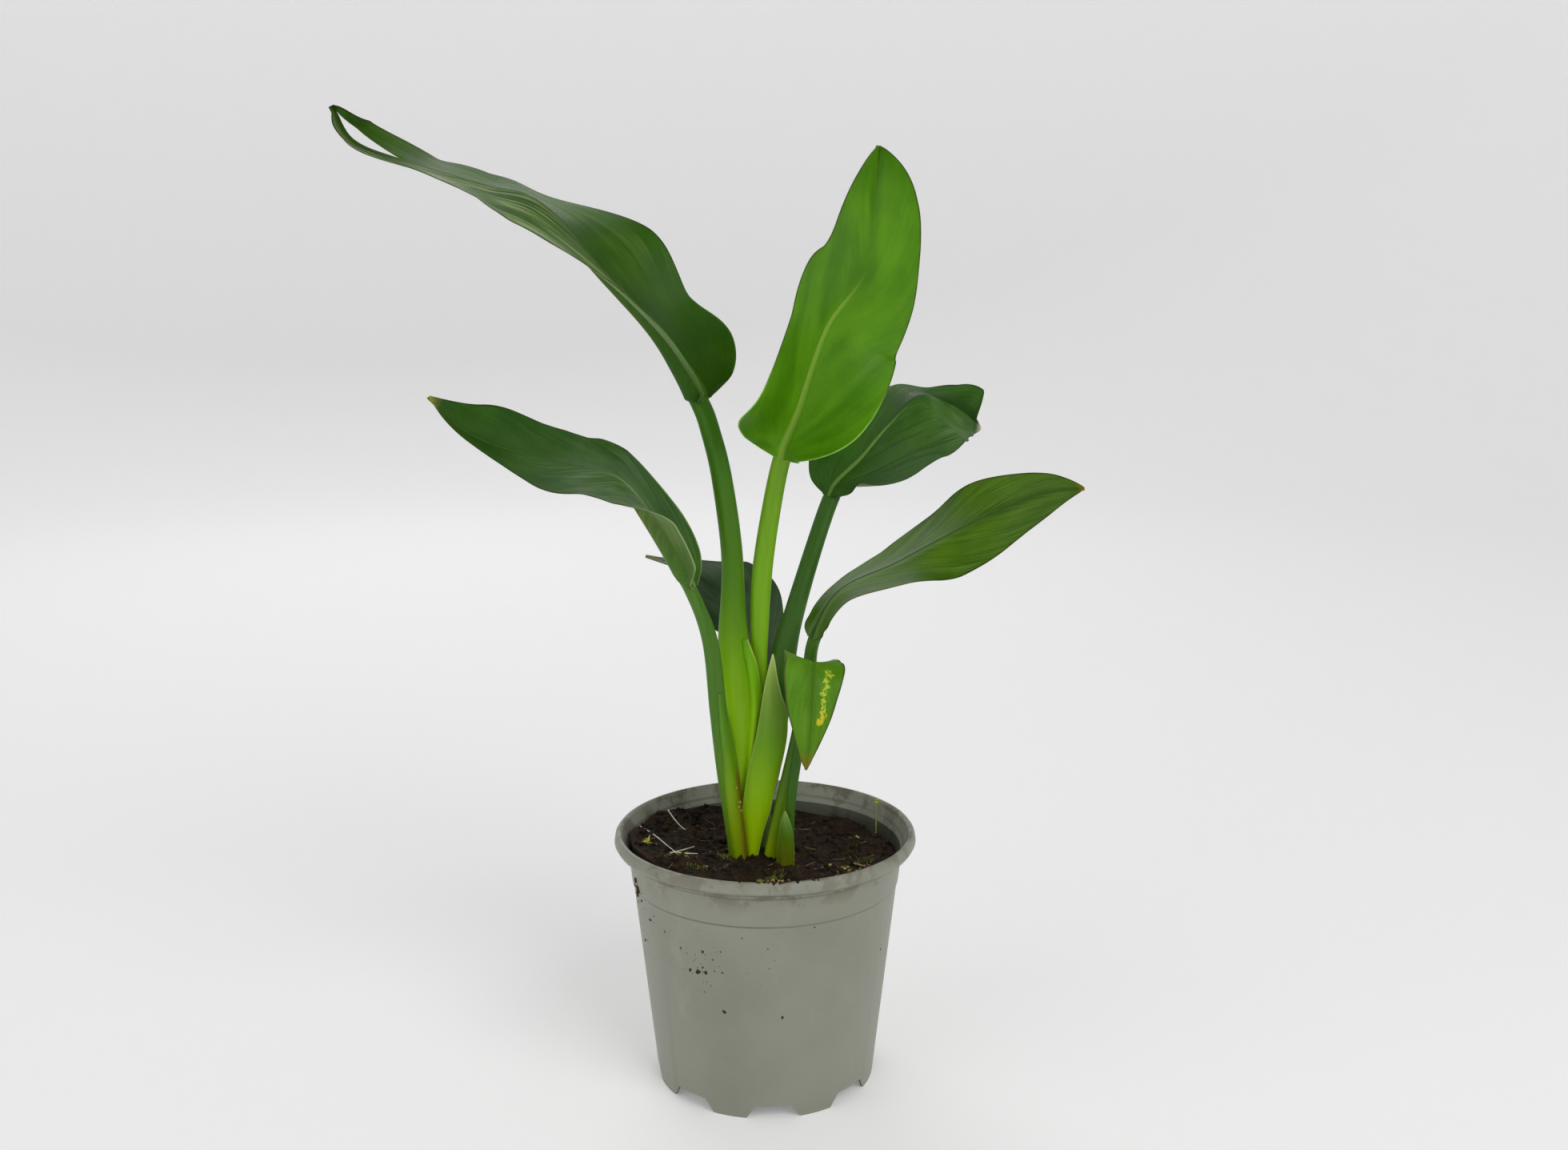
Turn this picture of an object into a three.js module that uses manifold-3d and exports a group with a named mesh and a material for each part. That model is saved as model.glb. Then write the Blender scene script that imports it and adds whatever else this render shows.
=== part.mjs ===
// Bird of paradise plant in a round nursery pot: seven leaves on clasping stalks, soil and pot.
// Millimetres, +Z up, -Y to the front. The origin is the centre of the pot's underside.
import * as THREE from 'three';
import { mergeVertices } from 'three/addons/utils/BufferGeometryUtils.js';
import ManifoldModule from 'manifold-3d';

const wasm = await ManifoldModule();
wasm.setup();

// Driving dimensions of the pot
const rimRadius = 60;
const potHeight = 102.2;
const baseRadius = 43.7;
const wallThickness = 1.2;
const collarHeight = 93.9;
const collarRadius = 54.5;
const collarFlare = 1.2;
const stepHeight = 82.2;
const stepWidth = 0.4;
const lipHeight = 5.2;
const lipWidth = 3.6;
const lipRound = 2;
const lipChamfer = 0.9;
const footHeight = 5.5;
const footCount = 8;
const firstFootAngle = THREE.MathUtils.degToRad(-108);
const archWidth = 22;
const archSlant = 4;
const archDepth = 6;
const hubRadius = 31;
const hubDraft = 0.8;
const drainRadius = 3.2;
const potSides = 48;
const drainSides = 10;
const cutReach = 1;

// Driving dimensions of the soil
const clearance = 0.3;
const soilLevel = 93.4;
const soilLean = 5.5;
const soilLowAngle = THREE.MathUtils.degToRad(38);
const soilRimRise = 1.6;
const soilRoughness = 0.7;
const soilWaves = [[5, 9, 0], [3, -14, 1], [11, 5, 0]];
const soilSides = 40;
const soilRings = 9;

// Driving dimensions that all the leaves share
const marginThickness = 0.6;
const middleThickness = 0.9;
const grooveDepth = 0.4;
const outlineSkew = 0.72;
const outlineFullness = 0.72;
const halfCurl = THREE.MathUtils.degToRad(20);
const stalkSides = 12;
const stalkRings = 16;
const bladeStations = 20;
const columnsPerHalf = 4;
const keelEndShare = 0.12;
const keelTaper = 1.5;
const neckShare = 1.15;
const stalkEndGap = 0.6;
const slitStations = 8;
const slitReach = 3;
const slitEnd = 0.04;

// Each leaf: its stalk from the foot up as [x, y, z, half width, half depth], its midrib from the
// blade's base to the tip as [x, y, z], the directions that its upper side faces along the midrib,
// the half widths left and right of the midrib, and the degrees that each half is raised above flat.
// A slit is a lens between two shares of the blade's length, set out from the midrib.
const leaves = {
  young: {
    stalk: [[-6, -4, 78, 1.7, 1.7], [-5, -3.5, 92, 1.8, 1.8], [-3.5, -3, 121, 2.2, 2],
      [-2.5, -3, 150.5, 3, 2.4], [-2.5, -5, 180.5, 3.9, 3], [-1.5, -8, 206.5, 3.7, 3],
      [2, -11.5, 232, 3.4, 2.8]],
    midrib: [[6, -16, 252], [12.5, -18.5, 270], [23, -19.5, 300], [37, -19.5, 320.5],
      [40.5, -13.5, 347.5], [42, -8.5, 365]],
    face: [[-0.25, -0.95, 0.1], [0.3, -0.95, 0.2], [0, -1, 0.2]],
    halfWidth: [33, 29.5],
    rise: { left: [20, 58, 56, 40, 55, 77], right: [61, 23, -4, -22, -7, 30] },
    bladeColour: 0x4f9a1e, stalkColour: 0x84b41c,
  },
  tall: {
    stalk: [[-11, -10.5, 78, 2.8, 2.5], [-10.5, -10, 92, 3, 2.6], [-9.5, -9.5, 123.5, 4.8, 3.2],
      [-8.5, -9, 153, 7, 3.8], [-11, -9, 182, 4.6, 3.6], [-11, -9, 214.5, 4.1, 3.5],
      [-14.5, -9.5, 245, 3.9, 3.3], [-18.5, -10.5, 263, 3.9, 3.1]],
    midrib: [[-22, -10, 273], [-28.5, -12, 285.5], [-39, -13, 301], [-58.5, -11.5, 321.5],
      [-81, -11.5, 345.5], [-101, -12.5, 351.5], [-120.5, -17, 357], [-145.5, -18.5, 365],
      [-152.5, -19.5, 378]],
    face: [[0.55, -0.7, 0.45], [0.55, -0.55, 0.6], [0.65, -0.3, 0.7], [0.05, -0.45, 0.9]],
    halfWidth: [25, 32.5],
    rise: { left: [50, 50, 42, 31, -1, 10, 16, 24, 42], right: [49, 16, -9, 8, -20, -16, -10, 21, 65] },
    slit: { from: 0.78, to: 0.985, inner: 0.14, width: 0.4 },
    bladeColour: 0x3c7a1c, stalkColour: 0x5f8f2e,
  },
  right: {
    stalk: [[0.5, -12.5, 79, 2.5, 2.3], [1.5, -12.5, 92, 2.6, 2.4], [6.5, -13, 118.5, 2.6, 2.4],
      [12, -12.5, 144.5, 2.7, 2.4], [15.5, -13, 166.5, 2.5, 2.3]],
    midrib: [[17.5, -15.5, 183.5], [28, -14.5, 202], [48.5, -11.5, 211.5], [67, -9.5, 221],
      [86, -11.5, 231], [104.5, -17, 239.5], [119, -19, 241.5]],
    face: [[-0.5, -0.6, 0.65], [-0.6, -0.6, 0.55], [0.05, -0.65, 0.75]],
    halfWidth: [20.5, 21.5],
    rise: { left: [-17, -37, -30, -19, 4, -5, 1], right: [24, 28, 22, -2, -6, -1, 19] },
    bladeColour: 0x3f7a22, stalkColour: 0x4c7a24,
  },
  left: {
    stalk: [[-11, -17, 79, 2.6, 2.1], [-11, -17, 94, 2.7, 2.2], [-14.5, -17.5, 126.5, 3.4, 2.5],
      [-17, -18.5, 156, 3.2, 2.5], [-19.5, -20.5, 185.5, 2.7, 2.4]],
    midrib: [[-25.5, -24, 205], [-39, -25.5, 229], [-51, -30.5, 246], [-64.5, -34, 251],
      [-81.5, -37, 255], [-104, -42, 264], [-115.5, -50, 278]],
    face: [[0.25, -0.35, 0.9], [0.35, -0.5, 0.8], [0, -0.55, 0.85]],
    halfWidth: [22.5, 25],
    rise: { left: [56, 50, 16, 14, 9, 28, 12], right: [9, -6, -10, -11, 0, 31, -19] },
    bladeColour: 0x35702c, stalkColour: 0x5c9a2a,
  },
  rear: {
    stalk: [[-6, -9.5, 79, 2, 2.2], [-5.5, -9.5, 92, 2.2, 2.3], [0, -8, 123, 5.2, 3.2],
      [3, -7, 149, 5.4, 3.6], [6.5, -4.5, 174.5, 4.2, 3.3], [11, -1.5, 193, 3.5, 3.1],
      [18.5, 2.5, 218, 3.4, 3]],
    midrib: [[24.5, 7, 235], [28.5, 10.5, 240.5], [38, 18, 248.5], [48.5, 25, 260], [61.5, 31, 271.5],
      [73.5, 42, 268], [82.5, 48, 262.5], [89, 51.5, 256.5]],
    face: [[-0.45, -0.75, 0.5], [-0.2, -0.85, 0.45], [0.25, -0.65, 0.7], [0.4, -0.55, 0.75]],
    halfWidth: [18.5, 32],
    rise: { left: [-18, 21, 19, -15, -32, -23, 54, 39], right: [37, 27, 28, 22, 9, 8, 8, 0] },
    bladeColour: 0x34682c, stalkColour: 0x77a022,
  },
  drooping: {
    stalk: [[0, -1, 78, 2.6, 2.3], [0, 0, 90, 2.8, 2.5], [0.5, 3.5, 119.5, 2.6, 2.4],
      [1.5, 9, 144.5, 2.5, 2.3]],
    midrib: [[0.5, 14, 165.5], [-6, 18, 175.5], [-14, 22.5, 185.5], [-21, 27.5, 193],
      [-32, 33, 200.5], [-49, 37, 206]],
    face: [[0.5, -0.7, 0.5], [0.2, -0.75, 0.65], [0.05, -0.45, 0.9]],
    halfWidth: [18, 21.5],
    rise: { left: [32, 37, 30, 35, 45, 43], right: [-33, -6, 20, 10, -22, -32] },
    bladeColour: 0x3f5c38, stalkColour: 0x4a6b2a,
  },
  folded: {
    stalk: [[9, -19, 82, 1.6, 1.4], [9.5, -19, 94.5, 1.7, 1.5], [10.5, -19.5, 121, 2, 1.5],
      [14, -19.5, 147, 2, 1.5]],
    midrib: [[17, -20, 168.5], [18.5, -22, 176], [18.5, -25, 174], [18, -29, 166.5], [17.5, -32, 154],
      [16, -31, 136]],
    face: [[0.15, 0, 1], [0.1, -0.95, 0.3], [0.05, -1, 0]],
    halfWidth: [12, 13.5],
    rise: { left: [-9, -2, 7, 13, -2, -40], right: [-26, 10, 31, 24, 10, 5] },
    bladeColour: 0x4c7d2e, stalkColour: 0x5a7d2a,
  },
};

// The stalks that each stalk is hollowed by where it clasps them
const claspedBy = {
  rear: ['young'],
  tall: ['young', 'rear'],
  drooping: ['young', 'rear'],
  right: ['rear', 'drooping'],
  left: ['tall', 'rear'],
  folded: ['right', 'rear'],
};

const toSolid = (geometry) => {
  geometry.deleteAttribute('normal');
  geometry.deleteAttribute('uv');
  const merged = mergeVertices(geometry, 1e-4);
  return new wasm.Manifold(new wasm.Mesh({
    numProp: 3,
    vertProperties: new Float32Array(merged.attributes.position.array),
    triVerts: new Uint32Array(merged.index.array),
  }));
};

const toGeometry = (solid) => {
  const { vertProperties, triVerts } = solid.getMesh();
  const geometry = new THREE.BufferGeometry();
  geometry.setAttribute('position', new THREE.BufferAttribute(vertProperties, 3));
  geometry.setIndex(new THREE.BufferAttribute(triVerts, 1));
  geometry.computeVertexNormals();
  return geometry;
};

const geometryOf = (points, faces) => {
  const geometry = new THREE.BufferGeometry();
  geometry.setFromPoints(points);
  geometry.setIndex(faces);
  return geometry;
};

const largestPiece = (solid) => solid.decompose().sort((a, b) => b.volume() - a.volume())[0];

const curveThrough = (points) => new THREE.CatmullRomCurve3(
  points.map(([x, y, z]) => new THREE.Vector3(x, y, z)), false, 'catmullrom');

// Smooth value at share t of a list, by the same curve that the midribs follow
const along = (list, t) => curveThrough(list.map((value) => [value, 0, 0])).getPoint(t).x;

// Frame at share t of a leaf's whole path: place, direction of growth, upper side and right side
const frameAt = (path, t, facing) => {
  const place = path.getPoint(t);
  const growth = path.getTangent(t);
  const upper = facing.clone().addScaledVector(growth, -facing.dot(growth)).normalize();
  const right = new THREE.Vector3().crossVectors(growth, upper);
  return { place, growth, upper, right };
};

// Closed body from rings of points, each end closed by a fan
const loft = (rings) => {
  const sides = rings[0].length;
  const points = rings.flat();
  const faces = [];
  for (let ring = 0; ring + 1 < rings.length; ring++) {
    for (let side = 0; side < sides; side++) {
      const a = ring * sides + side;
      const b = ring * sides + (side + 1) % sides;
      faces.push(a, b, a + sides, b, b + sides, a + sides);
    }
  }
  const centre = (ring) => (
    ring.reduce((sum, point) => sum.add(point), new THREE.Vector3()).divideScalar(sides));
  const first = points.push(centre(rings[0])) - 1;
  const last = points.push(centre(rings.at(-1))) - 1;
  const lastRing = (rings.length - 1) * sides;
  for (let side = 0; side < sides; side++) {
    const next = (side + 1) % sides;
    faces.push(next, side, first, lastRing + side, lastRing + next, last);
  }
  return geometryOf(points, faces);
};

// Closed thin body between two grids of points, split into triangles alike on both
const slab = (top, bottom) => {
  const rows = top.length;
  const columns = top[0].length;
  const points = [...top.flat(), ...bottom.flat()];
  const under = rows * columns;
  const faces = [];
  const quad = (a, b, c, d) => faces.push(a, b, c, a, c, d);
  for (let row = 0; row + 1 < rows; row++) {
    for (let column = 0; column + 1 < columns; column++) {
      const a = row * columns + column;
      const b = a + 1;
      const c = b + columns;
      const d = a + columns;
      quad(a, b, c, d);
      faces.push(under + a, under + c, under + b, under + a, under + d, under + c);
    }
    const left = row * columns;
    const right = left + columns - 1;
    quad(left, left + columns, under + left + columns, under + left);
    quad(right + columns, right, under + right, under + right + columns);
  }
  for (let column = 0; column + 1 < columns; column++) {
    const end = (rows - 1) * columns + column;
    quad(column + 1, column, under + column, under + column + 1);
    quad(end, end + 1, under + end + 1, under + end);
  }
  return geometryOf(points, faces);
};

const pathOf = (leaf) => curveThrough([...leaf.stalk, ...leaf.midrib]);
const bladeStart = (leaf) => leaf.stalk.length / (leaf.stalk.length + leaf.midrib.length - 1);

// Oval stalk whose upper side lies on the leaf's path, stopped just short of the blade
const stalkGeometry = (leaf, grow = 0) => {
  const path = pathOf(leaf);
  const end = bladeStart(leaf) - stalkEndGap / path.getLength();
  const footFacing = new THREE.Vector3(0, -1, 0);
  const topFacing = new THREE.Vector3(...leaf.face[0]).normalize();
  const rings = [];
  for (let ring = 0; ring <= stalkRings; ring++) {
    const share = ring / stalkRings;
    const facing = footFacing.clone().lerp(topFacing, share).normalize();
    const { place, upper, right } = frameAt(path, share * end, facing);
    const halfWidth = along(leaf.stalk.map((point) => point[3]), share) + grow;
    const halfDepth = along(leaf.stalk.map((point) => point[4]), share);
    const middle = place.clone().addScaledVector(upper, -halfDepth);
    rings.push(Array.from({ length: stalkSides }, (_, side) => {
      const angle = (side / stalkSides) * 2 * Math.PI;
      return middle.clone()
        .addScaledVector(right, halfWidth * Math.cos(angle))
        .addScaledVector(upper, (halfDepth + grow) * Math.sin(angle));
    }));
  }
  return loft(rings.map((ring) => ring.reverse()));
};

// Share of the half width reached at share t of the blade
const outline = (t) => Math.sin(Math.PI * Math.min(t, 1) ** outlineSkew) ** outlineFullness;

// What one row across a blade needs, at share t of its length: its frame, the keel's half width and
// depth, and for the left and the right half its width and how far it is raised
const bladeRow = (leaf, t) => {
  const start = bladeStart(leaf);
  const frame = frameAt(pathOf(leaf), start + (1 - start) * t, curveThrough(leaf.face).getPoint(t));
  const [lastHalfWidth, lastHalfDepth] = leaf.stalk.at(-1).slice(3);
  const keelShare = (1 - t) ** keelTaper * (1 - keelEndShare) + keelEndShare;
  const keelHalfWidth = lastHalfWidth * keelShare;
  return {
    ...frame,
    keelHalfWidth,
    keelDepth: 2 * lastHalfDepth * keelShare,
    halfWidths: leaf.halfWidth.map((width) => Math.max(width * outline(t), keelHalfWidth * neckShare)),
    raised: [leaf.rise.left, leaf.rise.right].map((list) => THREE.MathUtils.degToRad(along(list, t))),
  };
};

// Place on the blade's upper side at share s of a row's half width, left negative, with the direction
// straight out of the blade there
const bladePoint = (row, s) => {
  const side = s > 0 ? 1 : 0;
  const sign = Math.sign(s);
  const turn = row.raised[side] + halfCurl * (Math.abs(s) / 2 - 0.5);
  const reach = Math.abs(s) * row.halfWidths[side];
  const point = row.place.clone()
    .addScaledVector(row.right, sign * reach * Math.cos(turn))
    .addScaledVector(row.upper, reach * Math.sin(turn));
  const outward = row.upper.clone().multiplyScalar(sign ? Math.cos(turn) : 1)
    .addScaledVector(row.right, -sign * Math.sin(turn));
  return { point, outward };
};

// Blade as a thin shell over its midrib, with a keel below that runs out towards the tip. The rows
// lie closer together at both ends.
const bladeGeometry = (leaf) => {
  const top = [];
  const bottom = [];
  for (let station = 0; station <= bladeStations; station++) {
    const even = station / bladeStations;
    const row = bladeRow(leaf, even / 2 + (1 - Math.cos(Math.PI * even)) / 4);
    const topRow = [];
    const bottomRow = [];
    for (let column = -columnsPerHalf; column <= columnsPerHalf; column++) {
      const step = Math.abs(column);
      const keelEdge = row.keelHalfWidth / row.halfWidths[column > 0 ? 1 : 0];
      const share = step === 0 ? 0 : THREE.MathUtils.mapLinear(step, 1, columnsPerHalf, keelEdge, 1);
      const { point, outward } = bladePoint(row, Math.sign(column) * share);
      const keel = step === 0 ? row.keelDepth : 0;
      const thickness = THREE.MathUtils.lerp(middleThickness, marginThickness, share) + keel;
      topRow.push(point.clone().addScaledVector(outward, step === 0 ? -grooveDepth : 0));
      bottomRow.push(point.clone().addScaledVector(outward, -thickness));
    }
    top.push(topRow);
    bottom.push(bottomRow);
  }
  return slab(top, bottom);
};

// Lens through the right half of a blade, where it has split from the midrib near the tip
const slitCutter = (leaf) => {
  const { from, to, inner, width } = leaf.slit;
  const top = [];
  const bottom = [];
  for (let station = 0; station <= slitStations; station++) {
    const share = station / slitStations;
    const row = bladeRow(leaf, THREE.MathUtils.lerp(from, to, share));
    const open = width * Math.sin(Math.PI * THREE.MathUtils.lerp(slitEnd, 1 - slitEnd, share));
    const edges = [inner, inner + open].map((s) => bladePoint(row, s));
    top.push(edges.map(({ point, outward }) => point.clone().addScaledVector(outward, slitReach)));
    bottom.push(edges.map(({ point, outward }) => point.clone().addScaledVector(outward, -slitReach)));
  }
  return toSolid(slab(top, bottom));
};

const finishedBlade = (leaf) => {
  const blade = toSolid(bladeGeometry(leaf));
  return leaf.slit ? largestPiece(blade.subtract(slitCutter(leaf))) : blade;
};

// Radius of the pot wall's outside at a height
const wallRadius = (z) => THREE.MathUtils.mapLinear(z, 0, collarHeight, baseRadius, collarRadius);
const innerRadius = (z) => wallRadius(z) - wallThickness;

// Points of the lip's rounded top, from outside to inside
const lipArc = () => [0, 30, 60, 90, 120].map((degrees) => {
  const angle = THREE.MathUtils.degToRad(degrees);
  return [rimRadius - lipRound * (1 - Math.cos(angle)), potHeight - lipRound * (1 - Math.sin(angle))];
});

// Thin-walled shell with a rolled lip, a collar, a stacking step and a raised ring round the base's hub
const potShell = () => {
  const ringTop = footHeight + wallThickness;
  const lipFoot = potHeight - lipHeight;
  const band = collarRadius + collarFlare;
  const profile = [
    [0, 0], [hubRadius, 0], [hubRadius + hubDraft, footHeight],
    [innerRadius(footHeight), footHeight], [baseRadius - wallThickness, 0],
    [baseRadius, 0], [wallRadius(stepHeight) - stepWidth, stepHeight],
    [wallRadius(stepHeight + stepWidth), stepHeight + stepWidth],
    [collarRadius, collarHeight], [band, collarHeight + stepWidth], [band, lipFoot],
    [rimRadius - lipChamfer, lipFoot], [rimRadius, lipFoot + 2 * lipChamfer],
    ...lipArc(),
    [rimRadius - lipWidth, lipFoot + lipHeight / 2], [band - wallThickness, lipFoot - stepWidth],
    [innerRadius(collarHeight), collarHeight - wallThickness],
    [innerRadius(stepHeight), stepHeight], [innerRadius(ringTop), ringTop],
    [hubRadius + hubDraft + wallThickness, ringTop], [hubRadius + wallThickness, wallThickness],
    [0, wallThickness],
  ];
  const geometry = new THREE.LatheGeometry(profile.map(([r, z]) => new THREE.Vector2(r, z)), potSides);
  return toSolid(geometry.rotateX(Math.PI / 2));
};

// Arch between two feet, cut through the skirt, and the drain hole above it
const archCutters = () => {
  const halfArch = archWidth / 2;
  const archTop = footHeight - clearance / 2;
  const arch = new THREE.Shape();
  arch.moveTo(-halfArch, -cutReach);
  arch.lineTo(halfArch, -cutReach);
  arch.lineTo(halfArch - archSlant, archTop);
  arch.lineTo(archSlant - halfArch, archTop);
  const skirt = baseRadius - wallThickness;
  const holeDepth = 2 * (wallThickness + cutReach);
  const cutters = [];
  for (let index = 0; index < footCount; index++) {
    const angle = firstFootAngle + (index + 0.5) * 2 * Math.PI / footCount;
    const slot = new THREE.ExtrudeGeometry(arch, { depth: archDepth, bevelEnabled: false });
    slot.rotateX(Math.PI / 2).rotateZ(Math.PI / 2).translate(skirt - cutReach, 0, 0).rotateZ(angle);
    const hole = new THREE.CylinderGeometry(drainRadius, drainRadius, holeDepth, drainSides);
    const middle = (hubRadius + hubDraft + innerRadius(footHeight)) / 2;
    hole.rotateX(Math.PI / 2).translate(middle, 0, footHeight + wallThickness / 2).rotateZ(angle);
    cutters.push(toSolid(slot), toSolid(hole));
  }
  return cutters;
};

const potGeometry = () => (
  toGeometry(archCutters().reduce((pot, cutter) => pot.subtract(cutter), potShell())));

// Height of the soil at a share of the radius and an angle: low at the back right, heaped elsewhere.
// Each of its waves has a number of turns round the pot, a number along the radius and a start.
const soilHeight = (share, angle) => {
  const lean = -soilLean * share * Math.cos(angle - soilLowAngle);
  const clods = soilWaves.reduce((sum, [turns, waves, start]) => (
    sum + Math.sin(turns * angle + waves * share + start)), 0);
  return soilLevel + lean + soilRimRise * share ** 3 + soilRoughness * clods * share;
};

// Soil from its middle out over the top, down inside the wall and back in over the base
const soilSolid = () => {
  const ringTop = footHeight + wallThickness;
  const rows = [];
  const row = (pointAt) => rows.push(Array.from({ length: soilSides }, (_, side) => {
    const angle = (side / soilSides) * 2 * Math.PI;
    const [radius, z] = pointAt(angle);
    return new THREE.Vector3(radius * Math.cos(angle), radius * Math.sin(angle), z);
  }));
  row(() => [hubRadius / 2, wallThickness + clearance]);
  row(() => [hubRadius + wallThickness - 2 * clearance, wallThickness + clearance]);
  row(() => [hubRadius + hubDraft + wallThickness - 2 * clearance, ringTop + clearance]);
  row(() => [innerRadius(ringTop) - clearance, ringTop + clearance]);
  for (let ring = soilRings; ring > 0; ring--) {
    const share = ring / soilRings;
    const edgeRadius = (angle) => innerRadius(soilHeight(1, angle)) - 2 * clearance;
    row((angle) => [share * edgeRadius(angle), soilHeight(share, angle)]);
  }
  return toSolid(loft(rows));
};

// Stalks, each hollowed where it clasps others, and the same stalks with the clearance round them
const stalkSolids = {};
const inflatedStalks = {};
for (const [name, leaf] of Object.entries(leaves)) {
  stalkSolids[name] = toSolid(stalkGeometry(leaf));
  inflatedStalks[name] = toSolid(stalkGeometry(leaf, clearance));
}
for (const [name, inner] of Object.entries(claspedBy)) {
  for (const other of inner) {
    stalkSolids[name] = largestPiece(stalkSolids[name].subtract(inflatedStalks[other]));
  }
}

const plant = new THREE.Group();
const addPart = (name, geometry, color, roughness) => {
  const material = new THREE.MeshStandardMaterial({ color, roughness, metalness: 0 });
  const mesh = new THREE.Mesh(geometry, material);
  mesh.name = name;
  plant.add(mesh);
};

addPart('pot', potGeometry(), 0x8b8f8a, 0.5);
const soilWithHoles = Object.values(inflatedStalks)
  .reduce((soil, stalk) => soil.subtract(stalk), soilSolid());
addPart('soil', toGeometry(largestPiece(soilWithHoles)), 0x2e211a, 0.95);
for (const [name, leaf] of Object.entries(leaves)) {
  addPart(`${name}_leaf_stalk`, toGeometry(stalkSolids[name]), leaf.stalkColour, 0.45);
  addPart(`${name}_leaf_blade`, toGeometry(finishedBlade(leaf)), leaf.bladeColour, 0.4);
}

export default plant;
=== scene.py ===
# Potted bird of paradise: seven leaves on clasping stalks, damp peat and a grey nursery pot.
# Metres, +Z up, -Y to the front; the origin is the centre of the pot's underside.
import math
import random

import bpy
from mathutils import Matrix, Vector, noise


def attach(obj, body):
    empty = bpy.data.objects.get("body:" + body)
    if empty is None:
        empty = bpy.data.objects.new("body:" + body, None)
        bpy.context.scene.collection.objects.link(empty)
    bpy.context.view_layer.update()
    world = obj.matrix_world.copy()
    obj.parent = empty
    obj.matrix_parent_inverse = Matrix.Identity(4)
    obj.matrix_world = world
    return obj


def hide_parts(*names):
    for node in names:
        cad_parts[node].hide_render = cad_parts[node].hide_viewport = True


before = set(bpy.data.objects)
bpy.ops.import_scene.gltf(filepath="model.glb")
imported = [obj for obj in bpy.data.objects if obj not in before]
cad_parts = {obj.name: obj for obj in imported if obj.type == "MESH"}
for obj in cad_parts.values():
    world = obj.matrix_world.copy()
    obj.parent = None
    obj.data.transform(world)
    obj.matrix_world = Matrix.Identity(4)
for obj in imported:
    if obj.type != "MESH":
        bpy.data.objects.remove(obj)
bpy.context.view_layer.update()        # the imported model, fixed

mm = 0.001
fullTurn = 2 * math.pi
dice = random.Random(11)


# Camera: the photograph's viewing angle

cameraView = {"place": (0.0075, -0.600, 0.3234), "pitchDown": 11.18, "lens": 36.263, "sensor": 36}


def addCamera():
    tilt = math.radians(90 - cameraView["pitchDown"])
    bpy.ops.object.camera_add(location=cameraView["place"], rotation=(tilt, 0, 0))
    camera = bpy.context.object
    camera.data.lens = cameraView["lens"]
    camera.data.sensor_width = cameraView["sensor"]
    bpy.context.scene.camera = camera
    print("camera set")


addCamera()


# Modelling helpers

def namedPiece(name):
    piece = bpy.context.object
    piece.name = name
    piece.data.name = name
    return piece


def selectOnly(*pieces):
    bpy.ops.object.select_all(action="DESELECT")
    for piece in pieces:
        piece.select_set(True)
    bpy.context.view_layer.objects.active = pieces[0]


def editMode(on):
    bpy.ops.object.mode_set(mode="EDIT" if on else "OBJECT")


def selectMesh(action="SELECT"):
    bpy.ops.mesh.select_all(action=action)


def extrudeBy(*way):
    bpy.ops.mesh.extrude_region_move(TRANSFORM_OT_translate={"value": way})


def gridPiece(name, form):
    bpy.ops.mesh.primitive_grid_add(x_subdivisions=form["columns"], y_subdivisions=form["rows"], size=2)
    return namedPiece(name)


# A round column of unit layers, left in edit mode with its top face selected
def columnPiece(name, sides, layers):
    bpy.ops.mesh.primitive_circle_add(vertices=sides, radius=1, fill_type="NGON")
    piece = namedPiece(name)
    editMode(True)
    selectMesh()
    for layer in range(layers):
        extrudeBy(0, 0, 1)
    return piece


# Every vertex's place in millimetres, in order
def setPlaces(piece, places):
    piece.data.vertices.foreach_set("co", [value for place in places for value in place * mm])
    piece.data.update()


def setMarks(piece, **marks):
    for name, values in marks.items():
        piece.data.attributes.new(name, "FLOAT", "POINT").data.foreach_set("value", values)


def applyModifier(piece, kind, **settings):
    modifier = piece.modifiers.new(kind.lower(), kind)
    for key, value in settings.items():
        setattr(modifier, key, value)
    bpy.context.view_layer.objects.active = piece
    bpy.ops.object.modifier_apply(modifier=modifier.name)


def smoothShade(piece, degrees):
    selectOnly(piece)
    bpy.ops.object.shade_smooth_by_angle(angle=math.radians(degrees))


def turnOutwards():
    selectMesh()
    bpy.ops.mesh.normals_make_consistent(inside=False)


def closeSurface(piece, degrees):
    editMode(True)
    turnOutwards()
    editMode(False)
    smoothShade(piece, degrees)


def joinPieces(name, parts):
    selectOnly(*parts)
    bpy.ops.object.join()
    return namedPiece(name)


def keepPiece(piece, material, slotName, *nodes):
    piece.data.materials.clear()
    piece.data.materials.append(material)
    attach(piece, "root")
    if nodes:
        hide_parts(*nodes)


# One piece from many placed copies of a few small shapes, which are then taken away
def scatterPiece(name, shapes, placements, finish, *nodes, smooth=True):
    points, faces = [], []
    for index, matrix in enumerate(placements):
        source = shapes[index % len(shapes)].data
        base = len(points)
        points += [matrix @ vertex.co for vertex in source.vertices]
        faces += [[base + corner for corner in face.vertices] for face in source.polygons]
    for shape in shapes:
        bpy.data.objects.remove(shape)
    mesh = bpy.data.meshes.new(name)
    mesh.from_pydata(points, [], faces)
    piece = bpy.data.objects.new(name, mesh)
    bpy.context.scene.collection.objects.link(piece)
    if smooth:
        smoothShade(piece, 180)
    keepPiece(piece, finish, "soil", *nodes)


# Place and sizes in millimetres
def sizedAt(place, turn, *size):
    return Matrix.Translation(Vector(place) * mm) @ turn @ Matrix.Diagonal((*(Vector(size) * mm), 1))


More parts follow.
